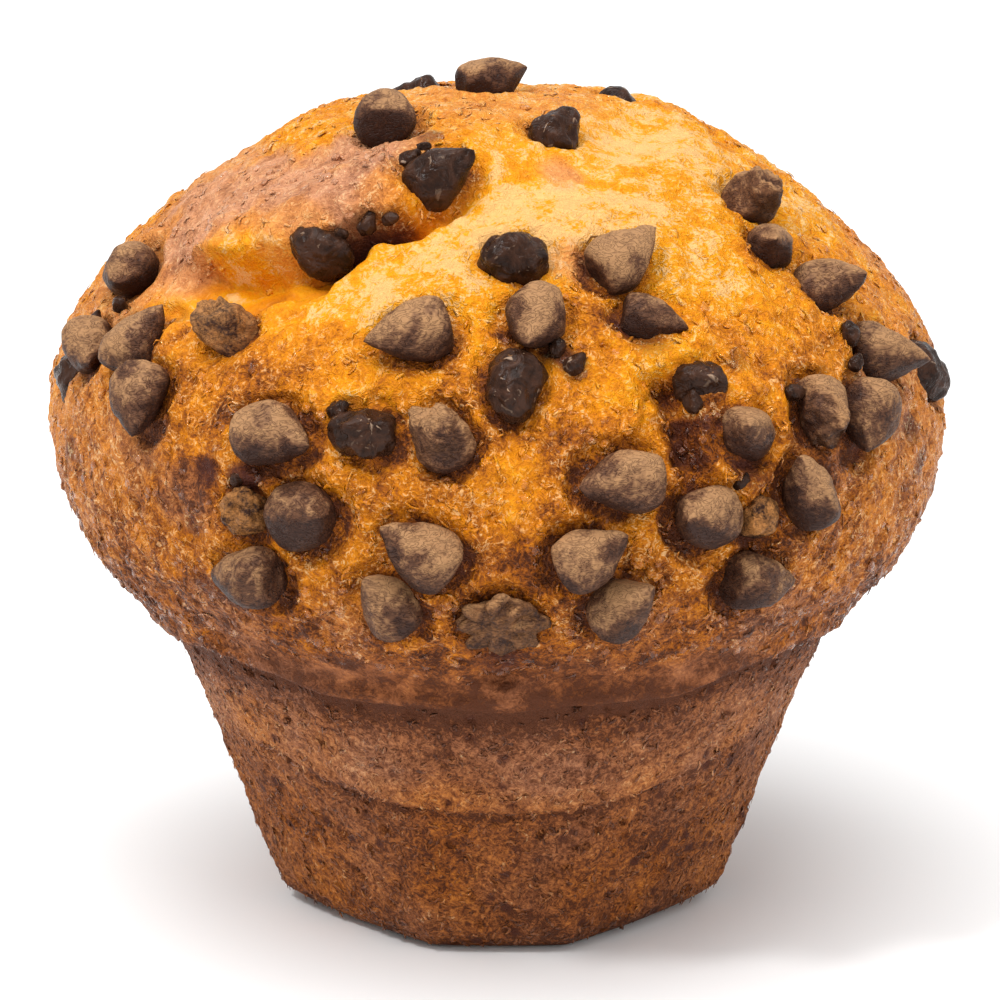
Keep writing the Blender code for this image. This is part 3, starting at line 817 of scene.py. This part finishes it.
def make_wall(scene):
    sizes, colors = scene.muffin_sizes, scene.muffin_colors
    rows, turns = 112, 540
    deselect()
    bpy.ops.mesh.primitive_grid_add(x_subdivisions=turns, y_subdivisions=rows, size=2)
    wall = begin("cake_wall")
    grid = positions(wall.data)
    around = (grid[:, 0] * 180).round(6)
    share = (grid[:, 1] + 1) / 2
    length = np.concatenate([[0], np.cumsum(np.hypot(*np.diff(OUTLINE, axis=0).T))])
    lip = lip_height(around)
    start = np.interp(-(lip + 2.6 * MM), -OUTLINE[120:, 1], length[120:])
    reach = start + (length[-1] - start) * np.minimum(1, share / 0.94)
    radius = np.interp(reach, length, OUTLINE[:, 0])
    height = np.interp(reach, length, OUTLINE[:, 1])
    radius = np.where(share > 0.94, radius * (1 - (share - 0.94) / 0.06 * 0.985), radius)
    pull = FLAT_STRENGTH * np.clip(1 - height / NECK.z, 0, 1) * (1 - flat_share(around))
    rim = 1 - smooth(0.0, 1.5 * MM, height)
    out = direction(around, np.full(len(around), 90.0))
    spots = out * radius[:, None] + np.array((0, 0, 1)) * height[:, None]

    crease = 18.0 * MM + 2 * MM * (np.minimum(np.abs(around), 60) / 38) ** 2
    crease += 0.35 * MM * layered(spots, 9 * MM, 50, 2)
    fade = 1 - smooth(35, 75, np.abs(around))
    fade = np.maximum(fade, 0.7 * (1 - smooth(30, 70, np.abs(np.abs(around) - 170))))
    below = crease - height
    relief = -fade * sizes.crease_step * (smooth(-0.2 * MM, 0.4 * MM, below) + 0.5 * np.exp(-(((below - 0.5 * MM) / (0.5 * MM)) ** 2)))
    relief += fade * 0.15 * MM * np.exp(-(((below + 0.7 * MM) / (0.8 * MM)) ** 2))
    under = np.exp(-(((height - lip + 0.6 * MM) / (1.3 * MM)) ** 2)) * lip_strength(around)
    relief -= 0.5 * MM * under
    relief -= 0.45 * MM * smooth(-0.3 * MM, 1.5 * MM, height - lip)
    warp = spots + 0.4 * MM * np.stack([grain(spots, 1.5 * MM, 70 + axis) for axis in range(3)], axis=1)
    relief += 0.22 * MM * layered(spots, 6 * MM, 51, 2)
    relief += sizes.wall_grain * (layered(warp, 1.9 * MM, 52, 3) + 0.6 * ridges(warp, 1.3 * MM, 53) - 0.3)
    nearest, kind = pits(warp, 2.1 * MM, 54)
    holes = (1 - smooth(0.12, 0.36, nearest)) * smooth(0.45, 0.9, kind)
    relief -= holes * sizes.pore_depth
    radius = radius * (1 - pull) + relief * (1 - rim)
    final = out * radius[:, None] + np.array((0, 0, 1)) * height[:, None]
    final[:, :2] += np.array(AXIS)[:2]
    move_to(wall.data, final)
    bpy.ops.object.mode_set(mode="EDIT")
    bpy.ops.mesh.select_all(action="SELECT")
    bpy.ops.mesh.remove_doubles(threshold=0.002 * MM)
    bpy.ops.mesh.select_all(action="DESELECT")
    bpy.ops.mesh.select_non_manifold()
    bpy.ops.mesh.fill_holes(sides=0)
    bpy.ops.mesh.select_all(action="SELECT")
    bpy.ops.mesh.normals_make_consistent(inside=False)
    bpy.ops.object.mode_set(mode="OBJECT")

    # The same measures again for the welded mesh
    places = positions(wall.data) - np.array(AXIS)
    around = np.degrees(np.arctan2(places[:, 0], -places[:, 1]))
    height = places[:, 2]
    nearest, kind = pits(places, 2.1 * MM, 54)
    holes = (1 - smooth(0.12, 0.40, nearest)) * smooth(0.45, 0.9, kind)
    crease = 18.0 * MM + 2 * MM * (np.minimum(np.abs(around), 60) / 38) ** 2
    crease_shade = np.exp(-(((crease - height - 0.6 * MM) / (0.7 * MM)) ** 2)) * (1 - smooth(35, 75, np.abs(around)))
    below_lip = lip_height(around) - height
    # Painted shade in the pores and along the crease
    level = 0.15 + 0.1 * layered(places, 8 * MM, 55, 2) - 0.3 * holes - 0.2 * crease_shade
    level += 0.06 * smooth(18, 40, -around) * (1 - smooth(60, 80, -around)) * (1 - smooth(10 * MM, 16 * MM, height))
    # Darker towards the base, and painted shade under the lip's overhang
    level -= 0.13 * (1 - smooth(0, 4 * MM, height)) + 0.22 * (1 - smooth(0, 6 * MM, below_lip)) + 0.25 * np.exp(-((below_lip / (1.0 * MM)) ** 2))
    level += 0.12 * np.exp(-(((height - crease - 1.6 * MM) / (2.2 * MM)) ** 2)) - 0.05 * smooth(0, 3 * MM, crease - height)
    # Painted light towards the sides, where the wall turns to the silhouette
    level += 0.07 * smooth(55, 85, np.abs(around)) * (1 - smooth(100, 130, np.abs(around)))
    rosy = np.clip(0.45 + 0.4 * layered(places, 10 * MM, 56, 2) + 0.35 * smooth(10 * MM, 28 * MM, height), 0, 1)
    steady = np.ones(len(level))
    # The pores' stain is painted shade
    store(wall.data, tone=level, rose=rosy * 0.8, wine=0.5 * holes, moist=0.3 * steady, grit=steady)
    store(wall.data, room=np.where((height > 0.8 * MM) & (below_lip > 0.6 * MM), 1 - 0.8 * holes, 0))
    wall.data.shade_smooth()
    declare(wall, baked_finish("baked_wall", colors, 0.7, 1.0, 0.14, 0.3), "crust", "cake")
    return wall


def scatter(piece, surface, count, seed, lengths, thickness, curl, lighten):
    """Turns a small shape into many joined copies of itself, laid along a surface and bent."""
    stir = np.random.default_rng(seed)
    spots, facing = positions(surface.data), normals(surface.data)
    corners = np.array([face.vertices for face in surface.data.polygons if len(face.vertices) == 4])
    sides = spots[corners[:, 2]] - spots[corners[:, 0]], spots[corners[:, 3]] - spots[corners[:, 1]]
    share = np.linalg.norm(np.cross(*sides), axis=1) * np.mean(kept(surface.data, "room")[corners], axis=1)
    chosen = corners[stir.choice(len(corners), count, p=share / share.sum()), 0]
    spots, facing = spots[chosen] + stir.uniform(-0.2, 0.2, (count, 3)) * MM, facing[chosen]
    out = spots - np.array(AXIS) - (0, 0, MIDDLE_HEIGHT)
    out[:, 2] = np.where(spots[:, 2] > NECK.z, out[:, 2], -0.2 * np.hypot(out[:, 0], out[:, 1]))
    out = 0.3 * facing + 1.5 * out / np.linalg.norm(out, axis=1)[:, None]
    out /= np.linalg.norm(out, axis=1)[:, None]
    along = np.cross(out, stir.normal(size=(count, 3)))
    along /= np.linalg.norm(along, axis=1)[:, None]
    across = np.cross(out, along)
    length = stir.uniform(*lengths, count)[:, None, None] / 2
    thick = stir.uniform(*thickness, count)[:, None, None]
    bend = stir.uniform(-curl, curl, count)[:, None, None] * length
    shape = positions(piece.data)
    wide, high, long = (shape[:, axis][None, :, None] for axis in range(3))
    points = spots[:, None] + along[:, None] * long * length
    points = points + across[:, None] * (wide * thick * 1.4 + bend * (long**2 - 0.4))
    points = points + out[:, None] * thick * (high * 0.36 - 0.2 - 0.8 * long**2)
    offsets = np.arange(count)[:, None] * len(shape)
    faces = sum(((np.array(face.vertices) + offsets).tolist() for face in piece.data.polygons), [])
    old = piece.data
    piece.data = bpy.data.meshes.new(piece.name)
    piece.data.from_pydata(points.reshape(-1, 3).tolist(), [], faces)
    bpy.data.meshes.remove(old)
    # Each copy's tone moves by a random amount from lighten, mostly paler: partly the crumb's own tone and partly a
    # painted highlight along the strands
    change = {"tone": stir.uniform(*lighten, count), "moist": stir.uniform(0.2, 0.6, count)}
    for name in ("tone", "rose", "wine", "moist", "grit"):
        value = kept(surface.data, name)[chosen] + change.get(name, 0)
        store(piece.data, **{name: np.repeat(np.clip(value, 0, 1), len(shape))})
    piece.data.shade_smooth()


def make_grains(scene, cap, wall):
    """Strands and beads of crumb that stand on the cap, and fibres that mat the wall."""
    sizes, colors = scene.muffin_sizes, scene.muffin_colors
    finish = baked_finish("glazed_crumb", colors, 0.34, 0.6, 0.45, 0.5)
    long = sizes.strand_length
    deselect()
    bpy.ops.mesh.primitive_uv_sphere_add(segments=3, ring_count=4, radius=1)
    strands = begin("crumb_strands")
    scatter(strands, cap, sizes.strand_count, 5, (0.5 * long, 1.3 * long), (0.12 * MM, 0.25 * MM), 0.8, (-0.04, 0.26))
    declare(strands, finish, "crust")
    deselect()
    bpy.ops.mesh.primitive_ico_sphere_add(subdivisions=1, radius=1)
    beads = begin("crumb_beads")
    scatter(beads, cap, sizes.bead_count, 6, (0.8 * MM, 1.8 * MM), (0.3 * MM, 0.6 * MM), 0.3, (-0.06, 0.2))
    declare(beads, finish, "crust")
    deselect()
    bpy.ops.mesh.primitive_uv_sphere_add(segments=3, ring_count=4, radius=1)
    fibres = begin("wall_fibres")
    scatter(fibres, wall, sizes.fibre_count, 7, (0.35 * long, long), (0.1 * MM, 0.2 * MM), 0.8, (-0.08, 0.22))
    declare(fibres, baked_finish("wall_crumb", colors, 0.45, 0.6, 0.3, 0.3), "crust")


# Each kind of chip, as rows of (share of the length, share of the radius) from base to tip
CHIP_ROWS = {
    "whole": ((0.0, 0.0), (0.0, 0.45), (0.04, 0.82), (0.24, 1.0), (0.54, 0.84), (0.75, 0.52), (0.89, 0.28), (1.0, 0.0)),
    "melted": ((0.0, 0.0), (0.0, 0.4), (0.08, 0.7), (0.3, 1.0), (0.6, 0.97), (0.84, 0.68), (0.97, 0.3), (1.0, 0.0)),
    "broken": ((0.0, 0.0), (0.0, 0.45), (0.06, 0.82), (0.32, 1.0), (0.72, 0.88), (1.02, 0.66), (1.06, 0.4), (0.98, 0.0)),
    "flat": ((0.0, 0.0), (0.0, 0.5), (0.1, 0.75), (0.45, 1.0), (0.85, 0.92), (1.0, 0.6), (1.0, 0.3), (0.98, 0.0)),
}


# How many flat faces each kind has, and how far out they lie as a share of the way to the skin
CHIP_FACETS = {"whole": (4, 0.78, 0.96), "melted": (3, 0.7, 0.9), "broken": (6, 0.66, 0.9), "flat": (2, 0.8, 0.95)}
FACET_SOFTNESS = 0.16 * MM

# How much paler or darker single chips are, and which ones broke open
CHIP_SHADES = {
    "chip_whole_01": -0.12, "chip_whole_02": -0.2, "chip_whole_03": -0.75, "chip_whole_07": -0.3,
    "chip_whole_04": -0.12, "chip_whole_09": -0.15, "chip_whole_12": -0.2, "chip_whole_16": -0.12,
    "chip_whole_20": -0.08, "chip_whole_23": -0.08, "chip_whole_26": 0.2, "chip_whole_27": 0.2, "chip_flat_01": -0.05, "chip_broken_02": 0.05,
    "chip_broken_01": -0.1, "chip_whole_05": -0.12, "chip_whole_06": 0.3, "chip_whole_22": -0.32, "chip_whole_13": 0.02,
    "chip_whole_24": 0.1, "chip_whole_25": 0.1, "chip_whole_18": 0.05, "chip_whole_15": -0.05,
}
CHIP_SQUASH = {"chip_melted_04": 0.72, "chip_melted_05": 0.88, "chip_melted_09": 0.78, "chip_melted_10": 0.9}
WET_CHIPS = ("chip_whole_03",)
CHIP_CRUMB = {"chip_broken_02": 0.75, "chip_broken_05": 1.0, "chip_broken_06": 1.0, "chip_flat_01": 0.3}


def rounded(rows, count):
    """Points along a smooth path through these rows."""
    rows = np.array(rows)
    rows = np.concatenate([[2 * rows[0] - rows[1]], rows, [2 * rows[-1] - rows[-2]]])
    share = np.linspace(0, len(rows) - 3, count)
    number = np.minimum(share.astype(int), len(rows) - 4)
    part = (share - number)[:, None]
    a, b, c, d = (rows[number + step] for step in range(4))
    return 0.5 * (2 * b + (c - a) * part + (2 * a - 5 * b + 4 * c - d) * part**2 + (3 * b - a - 3 * c + d) * part**3)


def convexity(mesh, points, facing):
    """How far each point stands out from the middle of its neighbours."""
    ends = np.empty(len(mesh.edges) * 2, np.int32)
    mesh.edges.foreach_get("vertices", ends)
    first, second = ends.reshape(-1, 2).T
    total, count = np.zeros_like(points), np.zeros(len(points))
    for near, far in ((first, second), (second, first)):
        np.add.at(total, near, points[far])
        np.add.at(count, near, 1)
    return ((points - total / count[:, None]) * facing).sum(axis=1)


def make_chip(chip, number, cake_middle, sizes):
    """Models one chip: a ball of rows pulled to its kind's outline, then dented and wrinkled."""
    random_one = random.Random(number * 37 + 5)
    rows, turns = 34, 52
    deselect()
    bpy.ops.mesh.primitive_uv_sphere_add(segments=turns, ring_count=rows, radius=1)
    piece = begin(chip.name.replace("chip_", "chocolate_"))
    ball = positions(piece.data)
    row = np.degrees(np.arccos(np.clip(-ball[:, 2], -1, 1))) / 180
    turn = np.arctan2(ball[:, 1], ball[:, 0])
    path = rounded(CHIP_ROWS[chip.kind], 400)
    steps = np.concatenate([[0], np.cumsum(np.hypot(*np.diff(path * (8.4, 3.35), axis=0).T))])
    spot = np.interp(row, steps / steps[-1], np.linspace(0, 1, len(path)))
    along = np.interp(spot, np.linspace(0, 1, len(path)), path[:, 0])
    across = np.interp(spot, np.linspace(0, 1, len(path)), np.maximum(path[:, 1], 0))
    across = np.where((row < 1e-4) | (row > 1 - 1e-4), 0, across)

    length = np.linalg.norm(chip.tip - chip.base)
    axis = chip.axis
    away = chip.middle - cake_middle
    away -= axis * (away @ axis)
    if np.linalg.norm(away) < 0.3 * np.linalg.norm(chip.middle - cake_middle):
        away = np.cross(axis, (0.3, 0.2, 0.9))
    away /= np.linalg.norm(away)
    side = np.cross(axis, away)
    circle = np.outer(np.cos(turn), away) + np.outer(np.sin(turn), side)

    seed = np.array([random_one.uniform(0, 50) for _ in range(3)])
    local = np.stack([across * np.cos(turn), across * np.sin(turn), along * 2.2], axis=1) + seed
    swell = sizes.chip_swell + 0.05 * layered(local, 1.1, 3, 2)
    squash = CHIP_SQUASH.get(chip.name, 1.0)
    if chip.kind == "broken":
        rough = layered(local, 0.5, 9, 3)
        swell += 0.10 * rough * smooth(0.45, 0.8, along)
        along = along + 0.10 * rough * smooth(0.6, 0.95, along)
    if chip.kind in ("melted", "flat"):
        swell += 0.14 * layered(local, 0.8, 10, 3)
    if chip.kind == "flat":
        swell += 0.07 * np.cos(turn * 8) + 0.05 * np.cos(turn * 5)
        along = along + 0.16 * np.cos(turn * 8) * smooth(0.3, 0.8, across) * smooth(0.5, 0.9, along)
    nose = random_one.uniform(-1, 1) * side + random_one.uniform(-0.2, 0.6) * away
    small = chip.radius / CHIP_RADIUS
    shift = np.outer(smooth(0.45, 1.0, along) ** 1.5 * sizes.chip_curl * small, nose)
    circle -= np.outer(np.sin(turn) * (1 - squash), side)
    points = np.outer((along - 0.5) * length, axis) + circle * (across * chip.radius * swell)[:, None] + shift
    count, least, most = CHIP_FACETS[chip.kind]
    for _ in range(count):
        facing = random_one.uniform(-math.pi, math.pi)
        tip = random_one.uniform(-0.5, 0.75)
        plane = (away * math.cos(facing) + side * math.sin(facing)) * math.sqrt(1 - tip * tip) + axis * tip
        limit = (points @ plane).max() * random_one.uniform(least, most)
        over = (points @ plane - limit) / FACET_SOFTNESS
        points = points - np.outer(FACET_SOFTNESS * np.logaddexp(0, over) * (1 - 0.12 * smooth(0, 6, over)), plane)
    points += chip.middle
    move_to(piece.data, points)
    bpy.ops.object.mode_set(mode="EDIT")
    bpy.ops.mesh.select_all(action="SELECT")
    bpy.ops.mesh.normals_make_consistent(inside=False)
    bpy.ops.object.mode_set(mode="OBJECT")

    facing = normals(piece.data)
    out = chip.middle - cake_middle
    out /= np.linalg.norm(out)
    skin = 0.09 * MM * layered(points, 1.4 * MM, 80, 3) + 0.05 * MM * ridges(points, 1.5 * MM, 81)
    crumb = CHIP_CRUMB.get(chip.name, 0.1 if chip.kind == "broken" else 0)
    skin += crumb * 0.5 * MM * layered(points, 1.6 * MM, 82, 3) * (0.3 + 0.7 * smooth(0.2, 0.7, along))
    if chip.kind in ("melted", "flat"):
        skin += 0.3 * MM * layered(points, 2.1 * MM, 83, 2) + 0.12 * MM * ridges(points, 2.2 * MM, 85)
    points = points + facing * skin[:, None] * min(1, small**0.5)
    move_to(piece.data, points)
    facing = normals(piece.data)
    worn = smooth(0.006 * MM, 0.03 * MM, convexity(piece.data, points, facing))
    # Melted chips: paler on the faces turned up, where dust sits and where the painted glints gather
    if chip.kind == "melted":
        bloom = np.clip(0.15 + 0.6 * facing[:, 2] + 0.4 * grain(points, 3 * MM, 84), 0, 1)
    else:
        # Other chips: real bloom, with painted top light on the faces turned up and outwards and painted shade on those
        # turned down and in
        bloom = 0.62 * facing[:, 2] + 0.34 * (facing @ out) + 0.06 + CHIP_SHADES.get(chip.name, 0)
        bare = smooth(0.08, 0.3, grain(points, 3.6 * MM, 84))
        bloom = np.clip(bloom + 0.3 * worn + 0.12 - 0.36 * bare + 0.2 * grain(points, 2 * MM, 87), 0, 1)
    crumbly = crumb * smooth(0.25, 0.6, along + 0.4 * grain(points, 2 * MM, 86))
    store(piece.data, bloom=bloom, crumbly=crumbly)
    piece.data.shade_smooth()
    return piece


def slot_of(kind):
    return "melted_chocolate" if kind in ("melted", "flat") else "chocolate"


class MuffinSizes(PropertyGroup):
    """The measures that a baker would change."""

    crumb_height: FloatProperty(name="Crumb Height", description="How high the crumb's grain stands", default=0.4 * MM, min=0, unit="LENGTH", precision=5)
    crumb_size: FloatProperty(name="Crumb Size", description="How wide one grain of the crumb is", default=1.8 * MM, min=0.2 * MM, unit="LENGTH", precision=5)
    ledge_height: FloatProperty(name="Ledge Height", description="How far the crust's plate stands over the split", default=2.6 * MM, min=0, unit="LENGTH", precision=5)
    socket_depth: FloatProperty(name="Socket Depth", description="How deep the crust sinks round a chip", default=0.9 * MM, min=0, unit="LENGTH", precision=5)
    lip_overhang: FloatProperty(name="Lip Overhang", description="How far the cap's lip rolls out over the wall", default=1.3 * MM, min=0, unit="LENGTH", precision=5)
    chip_swell: FloatProperty(name="Chip Swell", description="How thick the chips are, as a share of the frame's", default=0.95, min=0.5, max=1.2)
    chip_curl: FloatProperty(name="Chip Curl", description="How far a chip's nose bends to the side", default=1.2 * MM, min=0, unit="LENGTH", precision=5)
    crease_step: FloatProperty(name="Crease Step", description="How deep the wall's crease is", default=0.4 * MM, min=0, unit="LENGTH", precision=5)
    wall_grain: FloatProperty(name="Wall Grain", description="How high the wall's grain stands", default=0.18 * MM, min=0, unit="LENGTH", precision=5)
    pore_depth: FloatProperty(name="Pore Depth", description="How deep the wall's pores are", default=0.7 * MM, min=0, unit="LENGTH", precision=5)
    strand_length: FloatProperty(name="Strand Length", description="How long a strand of crumb is", default=1.5 * MM, min=0, unit="LENGTH", precision=5)
    strand_count: IntProperty(name="Strands", description="How many strands stand on the cap", default=7000, min=1, max=11000)
    bead_count: IntProperty(name="Beads", description="How many beads of crumb lie on the cap", default=3000, min=1, max=9900)
    fibre_count: IntProperty(name="Fibres", description="How many fibres mat the wall", default=8000, min=1, max=11000)


def color_property(name, description, color):
    return FloatVectorProperty(name=name, description=description, default=color, size=3, min=0, max=1, subtype="COLOR")


class MuffinColors(PropertyGroup):
    """The colours that a baker would change."""

    crust_dark: color_property("Dark Crust", "The darkest crust", (0.07, 0.017, 0.004))
    crust_brown: color_property("Brown Crust", "Well baked crust", (0.27, 0.07, 0.006))
    crust_gold: color_property("Golden Crust", "The crust's common tone", (0.55, 0.165, 0.004))
    crumb_orange: color_property("Orange Crumb", "Moist crumb near the top", (0.73, 0.24, 0.003))
    crumb_yellow: color_property("Yellow Crumb", "Fresh crumb in the split", (0.76, 0.31, 0.003))
    crumb_cream: color_property("Cream Crumb", "The palest crumb", (0.80, 0.44, 0.15))
    # A painted highlight: the glint on the oily tips of the crumb
    painted_glint: color_property("Glint", "The oily tips of the crumb", (0.98, 0.76, 0.42))
    rose_dark: color_property("Dark Skin", "Smooth skin under the cap", (0.12, 0.04, 0.018))
    rose_pale: color_property("Pale Skin", "Smooth skin on the crust's plate", (0.63, 0.31, 0.2))
    # Real cocoa stains, also used as painted shade below the chips, in crevices and in the wall's pores
    wine: color_property("Cocoa Stain", "Chocolate rubbed into the crumb", (0.07, 0.018, 0.013))
    # The chips' dark undersides and pale tops are painted shade and painted top light laid over the chocolate's own
    # dark tone and bloom
    chocolate_dark: color_property("Dark Chocolate", "The chips' undersides", (0.035, 0.014, 0.009))
    chocolate: color_property("Chocolate", "The chips' sides", (0.115, 0.05, 0.026))
    chocolate_bloom: color_property("Bloomed Chocolate", "The chips' dull tops", (0.37, 0.195, 0.088))
    crumbly: color_property("Crumbly Chocolate", "Broken faces and stuck crumbs", (0.40, 0.17, 0.05))
    melted_dark: color_property("Melted Chocolate", "Melted chips in the shade", (0.017, 0.007, 0.004))
    # A painted highlight on the wet points of melted chips
    melted_glint: color_property("Melted Glint", "Wet points of melted chips", (0.5, 0.34, 0.23))
    melted_light: color_property("Melted Sheen", "Melted chips in the light", (0.06, 0.025, 0.014))


class MUFFIN_OT_cake(Operator):
    """Shape the cap with its split and crumb, and the wall with its crease and pores"""

    bl_idname = "muffin.cake"
    bl_label = "Bake the Cake"

    def execute(self, context):
        make_cap(context.scene, chips_of_frame() + far_chips())
        make_wall(context.scene)
        return {"FINISHED"}


class MUFFIN_OT_grains(Operator):
    """Scatter the strands and beads of crumb over the cap, and the fibres over the wall"""

    bl_idname = "muffin.grains"
    bl_label = "Scatter the Crumb"

    def execute(self, context):
        make_grains(context.scene, bpy.data.objects["cake_cap"], bpy.data.objects["cake_wall"])
        return {"FINISHED"}


class MUFFIN_OT_chips(Operator):
    """Model every chocolate chip in its place"""

    bl_idname = "muffin.chips"
    bl_label = "Set the Chips"

    def execute(self, context):
        colors = context.scene.muffin_colors
        dull, shiny = chocolate_finish(colors), melted_finish(colors)
        middle = np.array(AXIS) + np.array((0, 0, MIDDLE_HEIGHT))
        further = {}
        for number, chip in enumerate(chips_of_frame() + far_chips() + bits()):
            piece = make_chip(chip, number, middle, context.scene.muffin_sizes)
            if chip.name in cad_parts:
                finish = shiny if chip.kind == "melted" or chip.name in WET_CHIPS else dull
                declare(piece, finish, slot_of(chip.kind), chip.name)
            else:
                further.setdefault((chip.name.split("_")[0], chip.kind), []).append(piece)
        for (group, kind), pieces in further.items():
            piece = joined(pieces, f"{group}_{kind}")
            declare(piece, shiny if kind == "melted" else dull, slot_of(kind))
        return {"FINISHED"}


class MUFFIN_OT_stage(Operator):
    """Lay the floor, hang the soft lights and place the camera"""

    bl_idname = "muffin.stage"
    bl_label = "Set the Stage"

    def execute(self, context):
        scene = context.scene
        deselect()
        bpy.ops.mesh.primitive_plane_add(size=6)
        floor = begin("floor")
        finish = Finish("pale_floor")
        floor.data.materials.append(finish.surface(base_color=(0.93, 0.93, 0.93), roughness=0.9))

        world = bpy.data.worlds.new("pale_room")
        scene.world = world
        world.use_nodes = True
        world.node_tree.nodes["Background"].inputs["Color"].default_value = (1, 1, 1, 1)
        world.node_tree.nodes["Background"].inputs["Strength"].default_value = 0.75

        lights = (
            ("top_light", (-0.1, -0.35, 2.1), 1.9, 37.0),
            ("key_light", (-0.55, -0.6, 1.1), 0.14, 5.5),
            ("fill_light", (0.8, -1.0, 0.6), 0.5, 2.0),
        )
        for name, place, size, power in lights:
            bpy.ops.object.light_add(type="AREA", location=place)
            light = begin(name)
            light.data.size = size
            light.data.energy = power
            aim = Vector((0, 0, 0.05)) - light.location
            light.rotation_euler = aim.to_track_quat("-Z", "Y").to_euler()

        distance, tilt = 0.6, math.radians(15)
        target = AXIS + Vector((0, 0, 43.8 * MM))
        place = target + Vector((0, -math.cos(tilt), math.sin(tilt))) * distance
        bpy.ops.object.camera_add(location=place)
        camera = begin("camera")
        camera.rotation_euler = (target - place).to_track_quat("-Z", "Y").to_euler()
        camera.data.lens = 200.56
        camera.data.sensor_width = 36
        scene.camera = camera
        scene.view_settings.view_transform = "Standard"
        return {"FINISHED"}


class MUFFIN_PT_panel(Panel):
    """Lists the muffin's pieces and measures"""

    bl_idname = "MUFFIN_PT_panel"
    bl_label = "Muffin"
    bl_space_type = "VIEW_3D"
    bl_region_type = "UI"
    bl_category = "Muffin"

    def draw(self, context):
        layout = self.layout
        for operator in OPERATORS:
            layout.operator(operator.bl_idname)
        for group in (context.scene.muffin_sizes, context.scene.muffin_colors):
            box = layout.box()
            for name in group.__annotations__:
                box.prop(group, name)


OPERATORS = (MUFFIN_OT_cake, MUFFIN_OT_grains, MUFFIN_OT_chips, MUFFIN_OT_stage)
CLASSES = (MuffinSizes, MuffinColors, *OPERATORS, MUFFIN_PT_panel)


def register():
    for cls in CLASSES:
        bpy.utils.register_class(cls)
    bpy.types.Scene.muffin_sizes = PointerProperty(type=MuffinSizes)
    bpy.types.Scene.muffin_colors = PointerProperty(type=MuffinColors)


def unregister():
    del bpy.types.Scene.muffin_colors
    del bpy.types.Scene.muffin_sizes
    for cls in reversed(CLASSES):
        bpy.utils.unregister_class(cls)


def main():
    register()
    bpy.ops.muffin.cake()
    bpy.ops.muffin.grains()
    bpy.ops.muffin.chips()
    bpy.ops.muffin.stage()


if __name__ == "__main__":
    main()
